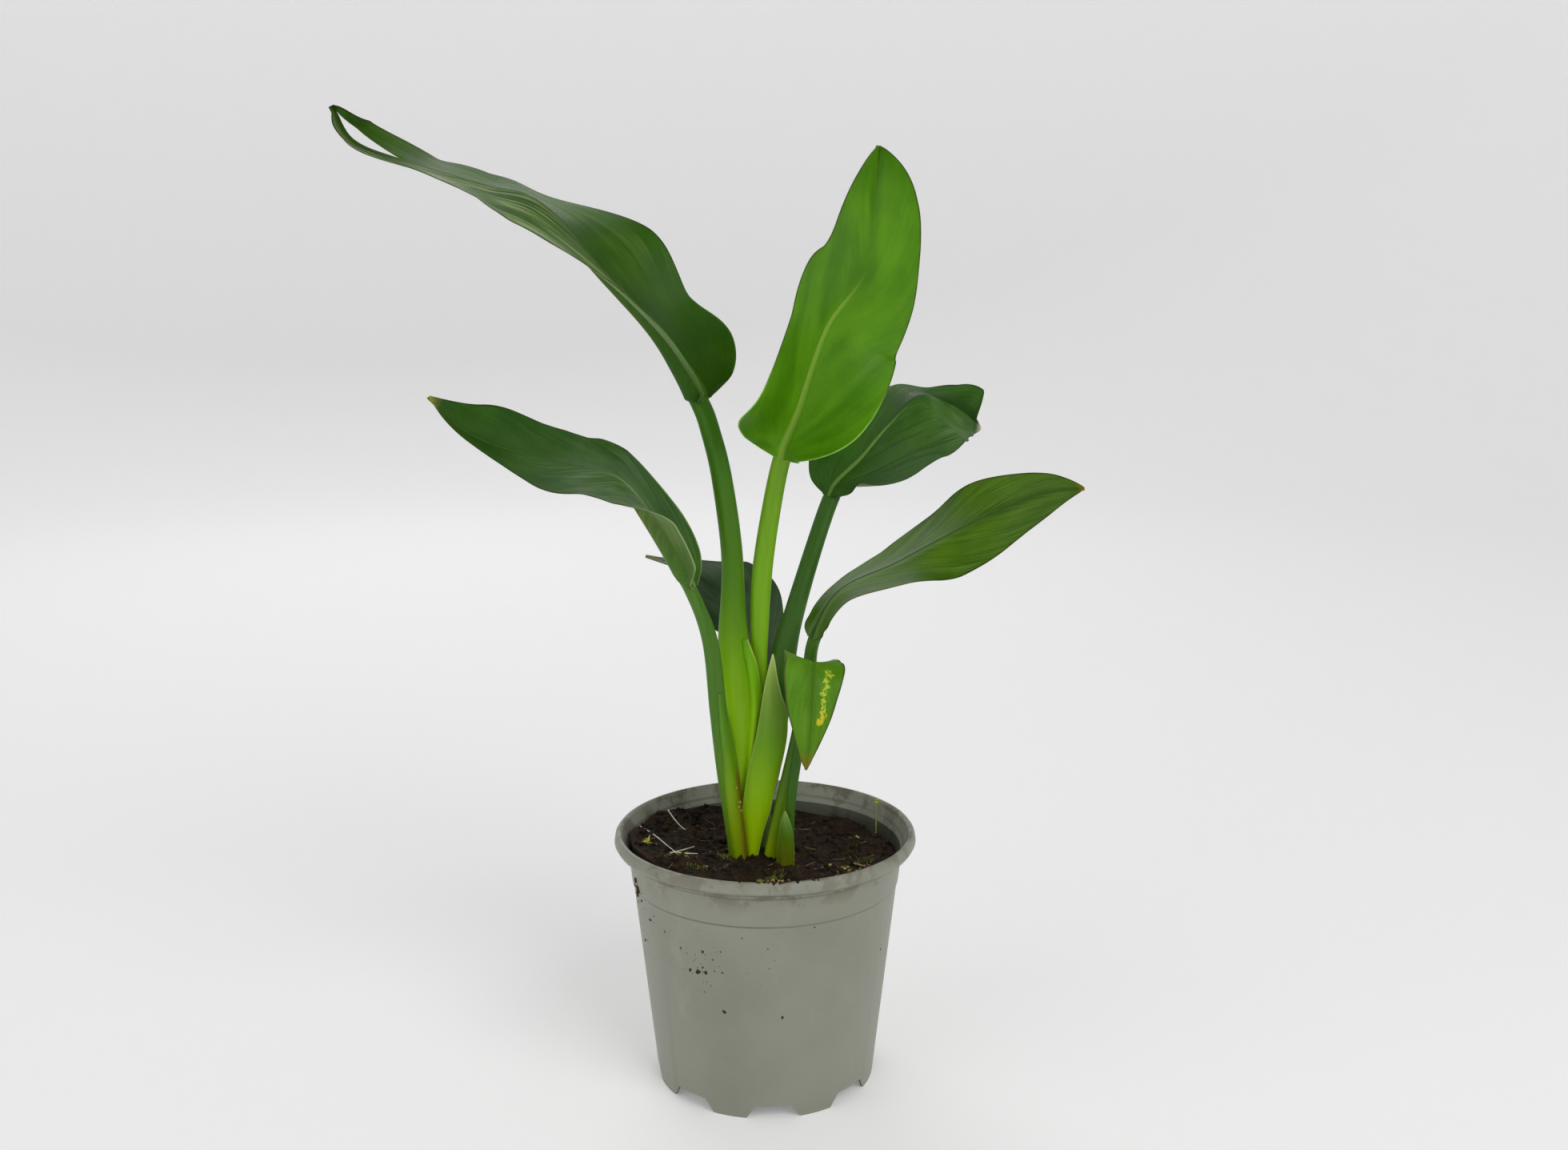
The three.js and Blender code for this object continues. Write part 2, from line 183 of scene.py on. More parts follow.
# Round wire through points in millimetres, thinner at its end
def addWire(points, radius, endShare, smoothness):
    curve = bpy.data.curves.new("wire", "CURVE")
    curve.dimensions = "3D"
    curve.bevel_depth = radius * mm
    curve.bevel_resolution = smoothness
    curve.use_fill_caps = True
    curve.resolution_u = 6
    line = curve.splines.new("NURBS")
    line.points.add(len(points) - 1)
    for index, point in enumerate(points):
        line.points[index].co = (*Vector(point) * mm, 1)
        line.points[index].radius = 1 + (endShare - 1) * index / (len(points) - 1)
    line.use_endpoint_u = True
    line.order_u = min(4, len(points))
    piece = bpy.data.objects.new("wire", curve)
    bpy.context.scene.collection.objects.link(piece)
    selectOnly(piece)
    bpy.ops.object.convert(target="MESH")
    return bpy.context.object


def keepWires(name, wires, finish):
    piece = joinPieces(name, wires)
    smoothShade(piece, 60)
    keepPiece(piece, finish, "soil")


# Value, or point, at a share of a list, on the smooth curve that the leaves follow
def smoothValue(values, share):
    points = [Vector(value) if hasattr(value, "__len__") else value for value in values]
    points = [2 * points[0] - points[1], *points, 2 * points[-1] - points[-2]]
    spans = len(values) - 1
    place = min(max(share, 0), 1) * spans
    index = min(int(place), spans - 1)
    t = place - index
    a, b, c, d = points[index:index + 4]
    curve = 2 * b + t * (c - a) + t * t * (2 * a - 5 * b + 4 * c - d)
    return 0.5 * (curve + t ** 3 * (3 * b - a - 3 * c + d))


def mixed(a, b, share):
    return a + (b - a) * share


def ease(value, low, high):
    share = min(max((value - low) / (high - low), 0), 1)
    return share * share * (3 - 2 * share)


# Material helpers. New nodes go into the tree that newGroup or newMaterial opened last; colours are
# given as a screen shows them, from 0 to 255.

canvas = {}


def tint(colour):
    channels = [value / 255 for value in colour]
    return (*[c / 12.92 if c <= 0.04045 else ((c + 0.055) / 1.055) ** 2.4 for c in channels], 1)


def setInputs(node, values):
    for key, value in values.items():
        if isinstance(value, bpy.types.NodeSocket):
            canvas["tree"].links.new(value, node.inputs[key])
        else:
            node.inputs[key].default_value = value


# Adds a node and gives its outputs
def addNode(kind, inputs=None, **settings):
    node = canvas["tree"].nodes.new(kind)
    for key, value in settings.items():
        setattr(node, key, value)
    setInputs(node, inputs or {})
    return node.outputs


def calc(operation, *values):
    return addNode("ShaderNodeMath", dict(enumerate(values)), operation=operation)[0]


def times(first, second):
    return calc("MULTIPLY", first, second)


def scaled(value, factor, offset):
    return calc("MULTIPLY_ADD", value, factor, offset)


def blendColour(share, first, second, way="MIX"):
    inputs = {0: share}
    for key, colour in ((6, first), (7, second)):
        inputs[key] = tint(colour) if isinstance(colour, (tuple, list)) else colour
    return addNode("ShaderNodeMix", inputs, data_type="RGBA", blend_type=way)[2]


# Colours laid over a base in turn, each where its mask shows
def layered(base, *layers):
    for mask, colour in layers:
        base = blendColour(mask, base, colour)
    return base


def remap(value, low, high, toLow=0.0, toHigh=1.0):
    limits = {"Value": value, "From Min": low, "From Max": high, "To Min": toLow, "To Max": toHigh}
    return addNode("ShaderNodeMapRange", limits, interpolation_type="SMOOTHSTEP")[0]


def noiseAt(place, scale, detail=3.0, roughness=0.5):
    inputs = {"Vector": place, "Scale": scale, "Detail": detail, "Roughness": roughness}
    return addNode("ShaderNodeTexNoise", inputs)[0]


def stretched(place, scale):
    return addNode("ShaderNodeMapping", {"Vector": place, "Scale": scale})[0]


def splitAxes(place):
    return addNode("ShaderNodeSeparateXYZ", {0: place})[:]


def objectPlace():
    return addNode("ShaderNodeTexCoord")["Object"]


def markValue(name):
    return addNode("ShaderNodeAttribute", attribute_name=name)["Fac"]


# A group whose inputs are numbers, or vectors where no value is given, and whose outputs are numbers
def newGroup(name, inputs, outputs):
    group = bpy.data.node_groups.new(name, "ShaderNodeTree")
    for socketName, value in inputs.items():
        kind = "NodeSocketVector" if value is None else "NodeSocketFloat"
        socket = group.interface.new_socket(name=socketName, in_out="INPUT", socket_type=kind)
        if value is not None:
            socket.default_value = value
    for socketName in outputs:
        group.interface.new_socket(name=socketName, in_out="OUTPUT", socket_type="NodeSocketFloat")
    canvas["tree"] = group
    return group, group.nodes.new("NodeGroupInput").outputs, group.nodes.new("NodeGroupOutput")


def placeGroup(group, **inputs):
    return addNode("ShaderNodeGroup", inputs, node_tree=group)


def newMaterial(name):
    material = bpy.data.materials.new(name)
    material.use_nodes = True
    canvas["tree"] = material.node_tree
    return material


def setShader(material, sockets):
    setInputs(material.node_tree.nodes["Principled BSDF"], sockets)


def finishMaterial(material, sockets, height, distance, strength):
    bump = addNode("ShaderNodeBump", {"Height": height, "Distance": distance, "Strength": strength})[0]
    setShader(material, {**sockets, "Normal": bump})
    return material


# Satin wax that lets a little light in
def waxy(colour, clouds, gloss, inner, blue, depth):
    return {
        "Base Color": colour, "Roughness": remap(clouds, 0.3, 0.7, 0.34, 0.46), "Specular IOR Level": gloss,
        "Subsurface Weight": inner, "Subsurface Radius": (0.6, 1.0, blue), "Subsurface Scale": depth,
    }


# Side veins of a blade, from its map: fine lines, soft bands between them and uneven streaks
def buildVeinGroup():
    inputs = {"Map": None, "Length": 120.0, "Lean": 50.0, "Gap": 7.0, "Fine": 1.1}
    group, given, result = newGroup("sideVeins", inputs, ["Lines", "Bands", "Streaks"])
    u, v = splitAxes(given["Map"])[:2]
    side = scaled(u, 2.0, -1.0)
    across = calc("POWER", calc("ABSOLUTE", side), 0.9)
    vein = calc("SUBTRACT", times(v, given["Length"]), times(across, given["Lean"]))
    half = times(calc("SIGN", side), 40.0)
    setInputs(result, {"Lines": calc("SINE", times(vein, fullTurn / 0.85))})
    for output, gap, run in (("Bands", given["Gap"], 1.2), ("Streaks", given["Fine"], 2.0)):
        spot = {0: calc("DIVIDE", vein, gap), 1: times(across, run), 2: half}
        setInputs(result, {output: noiseAt(addNode("ShaderNodeCombineXYZ", spot)[0], 1.0, 2.0)})
    return group


# Patchy dirt, as a mask
def buildDirtGroup():
    group, given, result = newGroup("patchyDirt", {"Place": None, "Scale": 60.0, "Cover": 0.5}, ["Mask"])
    cloud = noiseAt(given["Place"], given["Scale"], 5.0, 0.65)
    patch = calc("SUBTRACT", cloud, calc("SUBTRACT", 1.0, given["Cover"]))
    setInputs(result, {"Mask": times(patch, 9.0)})
    return group


veinGroup = buildVeinGroup()
dirtGroup = buildDirtGroup()


# Leaves. Millimetres: the stalk from the foot up as [x, y, z, half width, half depth], the midrib to
# the tip, the way the upper side faces along it, then the half widths and the degrees that each half
# is raised, left half first. A slit splits the right half near the tip, an ear ends the left half in a
# corner, and scar spots are [share across, share along, radius].

leaves = {}
leaves["young"] = {
    "stalk": [[-6, -4, 78, 1.7, 1.7], [-5, -3.5, 92, 1.8, 1.8], [-3.5, -3, 121, 2.2, 2],
        [-2.5, -3, 150.5, 3, 2.4], [-2.5, -5, 180.5, 3.9, 3], [-1.5, -8, 206.5, 3.7, 3],
        [2, -11.5, 232, 3.4, 2.8]],
    "midrib": [[6, -16, 252], [12.5, -18.5, 270], [23, -19.5, 300], [37, -19.5, 320.5], [40.5, -13.5, 347.5],
        [42, -8.5, 365]],
    "face": [[-0.25, -0.95, 0.1], [0.3, -0.95, 0.2], [0, -1, 0.2]], "halfWidth": [33, 29.5],
    "rise": [[20, 58, 56, 40, 55, 77], [61, 23, -4, -22, -7, 30]],
    "dark": (60, 112, 2), "light": (90, 144, 14), "under": (112, 160, 50),
    "rib": (124, 162, 56), "margin": (62, 74, 16), "tip": (90, 130, 30), "tipReach": 2,
    "stalkTints": [(140, 170, 10), (156, 204, 0), (124, 180, 14), (112, 158, 36)],
    "look": {"bands": 0.55, "bandGap": 12.0, "streaks": 0.12, "paintedSheen": 0.08, "relief": 0.35,
        # The pale margin near the base is a painted highlight
        "ribEnd": (0.45, 0.62), "ribWidth": (0.3, 0.7), "baseMargin": (150, 200, 90), "gloss": 0.12,
        "lean": 1.4},
}
leaves["tall"] = {
    "stalk": [[-11, -10.5, 78, 2.8, 2.5], [-10.5, -10, 92, 3, 2.6], [-9.5, -9.5, 123.5, 4.8, 3.2],
        [-8.5, -9, 153, 7, 3.8], [-11, -9, 182, 4.6, 3.6], [-11, -9, 214.5, 4.1, 3.5],
        [-14.5, -9.5, 245, 3.9, 3.3], [-18.5, -10.5, 263, 3.9, 3.1]],
    "midrib": [[-22, -10, 273], [-28.5, -12, 285.5], [-39, -13, 301], [-58.5, -11.5, 321.5],
        [-81, -11.5, 345.5], [-101, -12.5, 351.5], [-120.5, -17, 357], [-145.5, -18.5, 365],
        [-152.5, -19.5, 378]],
    "face": [[0.55, -0.7, 0.45], [0.55, -0.55, 0.6], [0.65, -0.3, 0.7], [0.05, -0.45, 0.9]],
    "halfWidth": [25, 32.5],
    "rise": [[50, 50, 42, 31, -1, 10, 16, 24, 42], [49, 16, -9, 8, -20, -16, -10, 21, 65]],
    "slit": {"from": 0.78, "to": 0.985, "inner": 0.14, "width": 0.4, "blunt": 0.02, "fade": 0.12,
        "columns": (8, 19)},
    "dark": (46, 90, 4), "light": (74, 118, 16), "under": (104, 136, 56),
    "rib": (104, 140, 50), "margin": (50, 54, 16), "tip": (60, 70, 30), "tipReach": 3,
    "stalkTints": [(150, 184, 2), (160, 218, 0), (54, 104, 8), (62, 108, 20)],
    "look": {"bands": 0.5, "bandGap": 16.0, "streaks": 1.1, "streakGap": 4.2, "lean": 3.4, "plain": -0.1,
        "paintedSheen": 1, "shineTint": (164, 184, 122), "markedSides": (1, 0.12), "tipMarks": 0.8,
        "shineFrom": (0.46, 0.54), "shineStart": (0.22, 0.4), "ribEnd": (0.05, 0.2), "ribLeft": 0,
        "beside": (60, 100, 20), "relief": 0.9, "baseMargin": (76, 120, 28)},
}
leaves["right"] = {
    "stalk": [[0.5, -12.5, 79, 2.5, 2.3], [1.5, -12.5, 92, 2.6, 2.4], [6.5, -13, 118.5, 2.6, 2.4],
        [12, -12.5, 144.5, 2.7, 2.4], [15.5, -13, 166.5, 2.5, 2.3]],
    "midrib": [[17.5, -15.5, 183.5], [28, -14.5, 202], [48.5, -11.5, 211.5], [67, -9.5, 221],
        [86, -11.5, 231], [104.5, -17, 239.5], [119, -19, 241.5]],
    "face": [[-0.5, -0.6, 0.65], [-0.6, -0.6, 0.55], [0.05, -0.65, 0.75]], "halfWidth": [20.5, 21.5],
    "rise": [[-17, -37, -30, -19, 4, -5, 1], [24, 28, 22, -2, -6, -1, 19]],
    "dark": (56, 94, 4), "light": (86, 124, 20), "under": (98, 134, 50),
    # The dark midrib tint here is painted shade in the midrib's groove
    "rib": (48, 84, 20), "margin": (54, 60, 18), "tip": (132, 118, 12), "tipReach": 5,
    # The foot tint is pale and made extra bright: painted light on a foot that sits in shade among the stalks
    "stalkTints": [(210, 236, 10), (100, 142, 12), (62, 104, 18), (64, 106, 22)],
    "look": {"lean": 2.4, "ribEnd": (0.4, 0.7), "beside": (118, 144, 88), "creaseShade": 0.5, "streaks": 0.8,
        "streakGap": 2.0},
}
leaves["left"] = {
    "stalk": [[-11, -17, 79, 2.6, 2.1], [-11, -17, 94, 2.7, 2.2], [-14.5, -17.5, 126.5, 3.4, 2.5],
        [-17, -18.5, 156, 3.2, 2.5], [-19.5, -20.5, 185.5, 2.7, 2.4]],
    "midrib": [[-25.5, -24, 205], [-39, -25.5, 229], [-51, -30.5, 246], [-64.5, -34, 251], [-81.5, -37, 255],
        [-104, -42, 264], [-115.5, -50, 278]],
    "face": [[0.25, -0.35, 0.9], [0.35, -0.5, 0.8], [0, -0.55, 0.85]], "halfWidth": [22.5, 25],
    "rise": [[56, 50, 16, 14, 9, 28, 12], [9, -6, -10, -11, 0, 31, -19]],
    "dark": (36, 80, 8), "light": (62, 102, 24), "under": (104, 128, 64),
    "rib": (120, 148, 84), "margin": (44, 56, 18), "tip": (150, 146, 24), "tipReach": 7,
    "stalkTints": [(96, 116, 8), (92, 134, 12), (68, 112, 28), (76, 118, 40)],
    "look": {"lean": 2.4, "streaks": 0.8, "streakGap": 2.4, "paintedSheen": 0.7, "shineTint": (112, 142, 86),
        "shineFrom": (0.44, 0.6), "markedTo": (0.35, 0.7), "tipMarks": 0.25, "plain": -0.08,
        "markedSides": (1, 0.45), "ribEnd": (0.25, 0.5), "baseMargin": (140, 168, 108), "creaseShade": 0,
        "keelEnd": (0, 0.22)},
}
leaves["rear"] = {
    "stalk": [[-6, -9.5, 79, 2, 2.2], [-5.5, -9.5, 92, 2.2, 2.3], [0, -8, 123, 5.2, 3.2],
        [3, -7, 149, 5.4, 3.6], [6.5, -4.5, 174.5, 4.2, 3.3], [11, -1.5, 193, 3.5, 3.1],
        [18.5, 2.5, 218, 3.4, 3]],
    "midrib": [[24.5, 7, 235], [28.5, 10.5, 240.5], [38, 18, 248.5], [48.5, 25, 260], [61.5, 31, 271.5],
        [73.5, 42, 268], [82.5, 48, 262.5], [89, 51.5, 256.5]],
    "face": [[-0.45, -0.75, 0.5], [-0.2, -0.85, 0.45], [0.25, -0.65, 0.7], [0.4, -0.55, 0.75]],
    "halfWidth": [18.5, 32], "rise": [[-18, 21, 19, -15, -32, -23, 54, 39], [37, 27, 28, 22, 9, 8, 8, 0]],
    "ear": {"from": 0.78, "flare": 6, "to": 0.93, "steep": 18, "left": 0.25},
    "dark": (30, 78, 2), "light": (66, 110, 26), "under": (100, 142, 50),
    "rib": (116, 150, 70), "margin": (44, 54, 20), "tip": (204, 198, 164), "tipReach": 6,
    "stalkTints": [(120, 150, 8), (84, 132, 2), (54, 94, 24), (62, 102, 34)],
    "look": {"paintedSheen": 0.8, "shineTint": (104, 134, 80), "shineStart": (0.3, 0.6), "shineFrom": (0.4, 0.6),
        "ribWidth": (0.15, 0.45), "ribEnd": (0.4, 0.58), "ribLeft": 0, "beside": (50, 94, 20),
        # Its crease darkening is painted shade on the far half, which lies behind the fold
        "markedSides": (0.5, 1), "creaseShade": 0.85, "creaseShadeSides": (1, 0), "creaseShadeReach": 14},
}
leaves["drooping"] = {
    "stalk": [[0, -1, 78, 2.6, 2.3], [0, 0, 90, 2.8, 2.5], [0.5, 3.5, 119.5, 2.6, 2.4],
        [1.5, 9, 144.5, 2.5, 2.3]],
    "midrib": [[0.5, 14, 165.5], [-6, 18, 175.5], [-14, 22.5, 185.5], [-21, 27.5, 193], [-32, 33, 200.5],
        [-49, 37, 206]],
    "face": [[0.5, -0.7, 0.5], [0.2, -0.75, 0.65], [0.05, -0.45, 0.9]], "halfWidth": [18, 21.5],
    "rise": [[32, 37, 30, 35, 45, 43], [-33, -6, 20, 10, -22, -32]],
    "dark": (44, 66, 42), "light": (70, 92, 60), "under": (104, 124, 84),
    "rib": (92, 112, 74), "margin": (60, 66, 36), "tip": (126, 126, 70), "tipReach": 9,
    "stalkTints": [(90, 104, 40), (76, 104, 44), (70, 98, 46), (70, 92, 50)], "look": {"paintedSheen": 0.2},
}
leaves["folded"] = {
    "stalk": [[9, -19, 82, 1.6, 1.4], [9.5, -19, 94.5, 1.7, 1.5], [10.5, -19.5, 121, 2, 1.5],
        [14, -19.5, 147, 2, 1.5]],
    "midrib": [[17, -20, 168.5], [18.5, -22, 176], [18.5, -25, 174], [18, -29, 166.5], [17.5, -32, 154],
        [16, -31, 136]],
    "face": [[0.15, 0, 1], [0.1, -0.95, 0.3], [0.05, -1, 0]], "halfWidth": [12, 13.5],
    "rise": [[-9, -2, 7, 13, -2, -40], [-26, 10, 31, 24, 10, 5]],
    "dark": (68, 118, 4), "light": (92, 142, 16), "under": (100, 142, 50),
    "rib": (80, 122, 24), "margin": (70, 74, 34), "tip": (142, 112, 30), "tipReach": 4,
    "stalkTints": [(96, 100, 20), (56, 100, 14), (52, 94, 20), (54, 92, 22)],
    "scar": [(-0.48, 0.43, 1.9), (-0.54, 0.47, 2.3), (-0.45, 0.52, 1.9), (-0.5, 0.57, 1.7),
        (-0.42, 0.62, 2.1), (-0.48, 0.67, 1.9), (-0.51, 0.72, 2.2), (-0.6, 0.76, 2.5), (-0.42, 0.78, 2.0)],
    "look": {"bands": 0.4, "streaks": 0.4, "paintedSheen": 0.25, "ribEnd": (0.2, 0.5)},
}
# How strong each mark of a blade is, unless its own look says otherwise
leafLook = {
    "bands": 0.6, "bandGap": 7.0, "streaks": 0.6, "streakGap": 1.1, "lean": 1.75, "relief": 0.6,
    "gloss": 0.15, "paintedSheen": 0.4, "shineTint": (118, 144, 76), "shineFrom": (0.45, 0.7),
    "shineStart": (0, 0.02), "plain": 0, "markedSides": (1, 1), "markedTo": (0.7, 1), "tipMarks": 0.6,
    "ribWidth": (0.4, 0.85), "ribEnd": (0.35, 0.7), "ribLeft": 0.12, "creaseShade": 0.35, "creaseShadeSides": (1, 1),
    "creaseShadeReach": 6, "keelEnd": (0.1, 0.55),
}
bladeForm = {
    "rows": 150, "columns": 56, "towardsRib": 1.5, "skew": 0.72, "fullness": 0.72, "halfCurl": 20,
    "keelEnd": 0.12, "keelEase": 1.5, "neck": 1.15, "margin": 0.28, "middle": 0.75, "groove": 0.45,
    "ruffle": 0.35, "ruffleWaves": 4.5, "pleat": 0.22, "pleatGap": 6.5, "veinLean": 1.75,
    "opening": 7, "closedWidth": 0.72, "closedRise": 0.25,
}
stalkForm = {
    "sides": 32, "rings": 72, "groove": 0.2, "grooveSpread": 700,
    "intoBlade": 0.13, "sunk": 0.6, "closed": 0.7,
}


def lengthOf(points):
    return sum((Vector(b[:3]) - Vector(a[:3])).length for a, b in zip(points, points[1:]))


# Place, upper side and right side at a share of the leaf's whole path
def leafFrame(leaf, share, facing):
    path = [point[:3] for point in leaf["stalk"] + leaf["midrib"]]
    step = 0.001
    growth = (smoothValue(path, share + step) - smoothValue(path, share - step)).normalized()
    upper = (facing - growth * facing.dot(growth)).normalized()
    return smoothValue(path, share), upper, growth.cross(upper)


def bladeStart(leaf):
    return len(leaf["stalk"]) / (len(leaf["stalk"]) + len(leaf["midrib"]) - 1)


def keelTaper(t):
    return (1 - t) ** bladeForm["keelEase"] * (1 - bladeForm["keelEnd"]) + bladeForm["keelEnd"]


# How much wider the left half is at share t, where it ends in a cornered ear before the tip
def earWidth(ear, t):
    opened = 1 + ear["flare"] * max(t - ear["from"], 0)
    closed = ear["left"] + ear["steep"] * max(ear["to"] - t, 0)
    return min(opened, closed)


# What one row across a blade needs, at share t of its length
def bladeRow(leaf, t):
    start = bladeStart(leaf)
    place, upper, right = leafFrame(leaf, start + (1 - start) * t, smoothValue(leaf["face"], t))
    opened = ease(t * lengthOf(leaf["midrib"]), 0, bladeForm["opening"])
    keelShare = keelTaper(t) * mixed(bladeForm["closedWidth"], 1, opened)
    keelHalf = leaf["stalk"][-1][3] * keelShare
    outline = math.sin(math.pi * t ** bladeForm["skew"]) ** bladeForm["fullness"] if 0 < t < 1 else 0
    halves = [max(width * outline, keelHalf * bladeForm["neck"]) for width in leaf["halfWidth"]]
    if "ear" in leaf:
        halves[0] *= earWidth(leaf["ear"], t)
    lift = mixed(bladeForm["closedRise"], 1, opened)
    raised = [math.radians(smoothValue(values, t)) * lift for values in leaf["rise"]]
    return {"place": place, "upper": upper, "right": right, "halves": halves, "raised": raised,
            "keelHalf": keelHalf, "keelDepth": 2 * leaf["stalk"][-1][4] * keelShare}


# Waves of the margin and shallow pleats along the side veins, as a height in millimetres
def bladeWaves(leaf, t, share, side):
    length = lengthOf(leaf["midrib"])
    swell = math.sin(math.pi * min(t, 1))
    wave = math.sin(fullTurn * bladeForm["ruffleWaves"] * t + 2.3 * side + length)
    vein = t * length - bladeForm["veinLean"] * leaf["halfWidth"][side] * share ** 0.9
    cloud = noise.noise(Vector((vein / bladeForm["pleatGap"], share * 1.5, 5 * side + length)))
    return swell * (bladeForm["ruffle"] * share ** 3 * wave + bladeForm["pleat"] * min(share * 6, 1) * cloud)


def makeBlade(name, leaf):
    piece = gridPiece(name + "Blade", bladeForm)
    editMode(True)
    selectMesh()
    extrudeBy(0, 0, -1)
    editMode(False)
    length = lengthOf(leaf["midrib"])
    rows, places, spread = {}, [], []
    marks = {"rib": [], "margin": [], "tip": [], "upper": [], "scar": []}
    for vertex in piece.data.vertices:
        even = (vertex.co.y + 1) / 2
        t = 0.5 * even + 0.25 * (1 - math.cos(math.pi * even))        # rows are closer at both ends
        side = int(vertex.co.x > 0)
        sign = 2 * side - 1
        upper = vertex.co.z > -0.5
        share = abs(vertex.co.x) ** bladeForm["towardsRib"]
        if side and "slit" in leaf:
            share = besideSlit(leaf["slit"], t, share)
        if even not in rows:
            rows[even] = bladeRow(leaf, t)
        row = rows[even]
        off = share * row["halves"][side]
        reach = off / row["keelHalf"]
        turn = row["raised"][side] + math.radians(bladeForm["halfCurl"]) * (share / 2 - 0.5)
        turn *= ease(share, 0, 0.03)
        aside = row["right"] * sign
        outward = row["upper"] * math.cos(turn) - aside * math.sin(turn)
        point = row["place"] + aside * off * math.cos(turn) + row["upper"] * off * math.sin(turn)
        if upper:
            sunk = bladeForm["groove"] * (1 - ease(reach, 0.1, 0.9)) * (1 - 0.6 * t)
        else:
            keel = row["keelDepth"] * math.sqrt(max(1 - reach * reach, 0))
            sunk = mixed(bladeForm["middle"], bladeForm["margin"], share) + keel
        places.append(point + outward * (bladeWaves(leaf, t, share, side) - sunk))
        values = (reach, row["halves"][side] - off, (1 - t) * length, upper, scarMark(leaf, t, sign * share))
        for mark, value in zip(marks, values):
            marks[mark].append(value)
        spread.append((0.5 + 0.5 * sign * share, t))
    setPlaces(piece, places)
    setMarks(piece, **marks)
    uv = piece.data.uv_layers.active.data
    for loop in piece.data.loops:
        uv[loop.index].uv = spread[loop.vertex_index]
    if "slit" in leaf:
        cutSlit(piece, leaf["slit"])
    closeSurface(piece, 50)
    keepPiece(piece, leafFinish(name, leaf), name + "_leaf_blade", name + "_leaf_blade")


# Old damage beside the midrib, where a blade has it
def scarMark(leaf, t, s):
    gaps = [math.hypot((s - across) * leaf["halfWidth"][0], (t - along) * lengthOf(leaf["midrib"])) / radius
            for across, along, radius in leaf.get("scar", [])]
    return max(0, 1 - min(gaps, default=1))


# The slit's inner and outer edge at share t, as shares of the half width
def slitEdges(slit, t):
    share = (t - slit["from"]) / (slit["to"] - slit["from"])
    opening = slit["width"] * math.sin(math.pi * min(max(share, 0), 1))
    return slit["inner"], slit["inner"] + max(opening, slit["blunt"])


# A share across the half, squeezed so that two columns of the grid follow the slit's edges
def besideSlit(slit, t, share):
    inner, outer = slitEdges(slit, t)
    halfColumns = bladeForm["columns"] / 2
    first, last = [(column / halfColumns) ** bladeForm["towardsRib"] for column in slit["columns"]]
    if share <= first:
        squeezed = inner * share / first
    elif share < last:
        squeezed = mixed(inner, outer, (share - first) / (last - first))
    else:
        squeezed = mixed(outer, 1, (share - last) / (1 - last))
    strength = ease(t, slit["from"] - slit["fade"], slit["from"]) * (1 - ease(t, slit["to"], 1))
    return mixed(share, squeezed, strength)


# The faces between the slit's edges are taken out, then the cut is sealed
def cutSlit(piece, slit):
    uv = piece.data.uv_layers.active.data
    editMode(True)
    selectMesh("DESELECT")
    editMode(False)
    for face in piece.data.polygons:
        u, v = [sum(uv[loop].uv[axis] for loop in face.loop_indices) / face.loop_total for axis in (0, 1)]
        inner, outer = slitEdges(slit, v)
        face.select = slit["from"] < v < slit["to"] and inner < 2 * u - 1 < outer
    editMode(True)
    bpy.ops.mesh.delete(type="FACE")
    selectMesh("DESELECT")
    bpy.ops.mesh.select_non_manifold(extend=False, use_wire=False, use_multi_face=False,
                                     use_non_contiguous=False, use_verts=False)
    bpy.ops.mesh.bridge_edge_loops()
    editMode(False)


def makeStalk(name, leaf):
    piece = columnPiece(name + "Stalk", stalkForm["sides"], stalkForm["rings"])
    editMode(False)
    end = bladeStart(leaf)
    reach = end + (1 - end) * stalkForm["intoBlade"]
    footFacing, topFacing = Vector((0, -1, 0)), Vector(leaf["face"][0]).normalized()
    halves = [point[3:] for point in leaf["stalk"]]
    rings, places, up = {}, [], []
    for vertex in piece.data.vertices:
        ring = round(vertex.co.z)
        pathShare = reach * ring / stalkForm["rings"]
        share = min(pathShare / end, 1)
        t = max(pathShare - end, 0) / (1 - end)
        if ring not in rings:
            facing = smoothValue(leaf["face"], t) if t else footFacing.lerp(topFacing, share)
            rings[ring] = leafFrame(leaf, pathShare, facing.normalized())
        place, upper, right = rings[ring]
        inside = t / stalkForm["intoBlade"]
        closing = keelTaper(t) * mixed(1, stalkForm["closed"], ease(inside, 0.3, 1))
        halfWidth, halfDepth = smoothValue(halves, share) * closing
        angle = math.atan2(vertex.co.y, vertex.co.x)
        away = (math.degrees(angle) - 90) ** 2 / stalkForm["grooveSpread"]
        hollow = stalkForm["groove"] * ease(share, 0.3, 0.8) * math.exp(-away)
        rise = halfDepth * (math.sin(angle) - hollow - 1) - stalkForm["sunk"] * ease(inside, 0, 0.35)
        places.append(place + right * halfWidth * math.cos(angle) + upper * rise)
        up.append(share)
    setPlaces(piece, places)
    setMarks(piece, up=up)
    closeSurface(piece, 60)
    keepPiece(piece, stalkFinish(name, leaf["stalkTints"]), name + "_leaf_stalk", name + "_leaf_stalk")
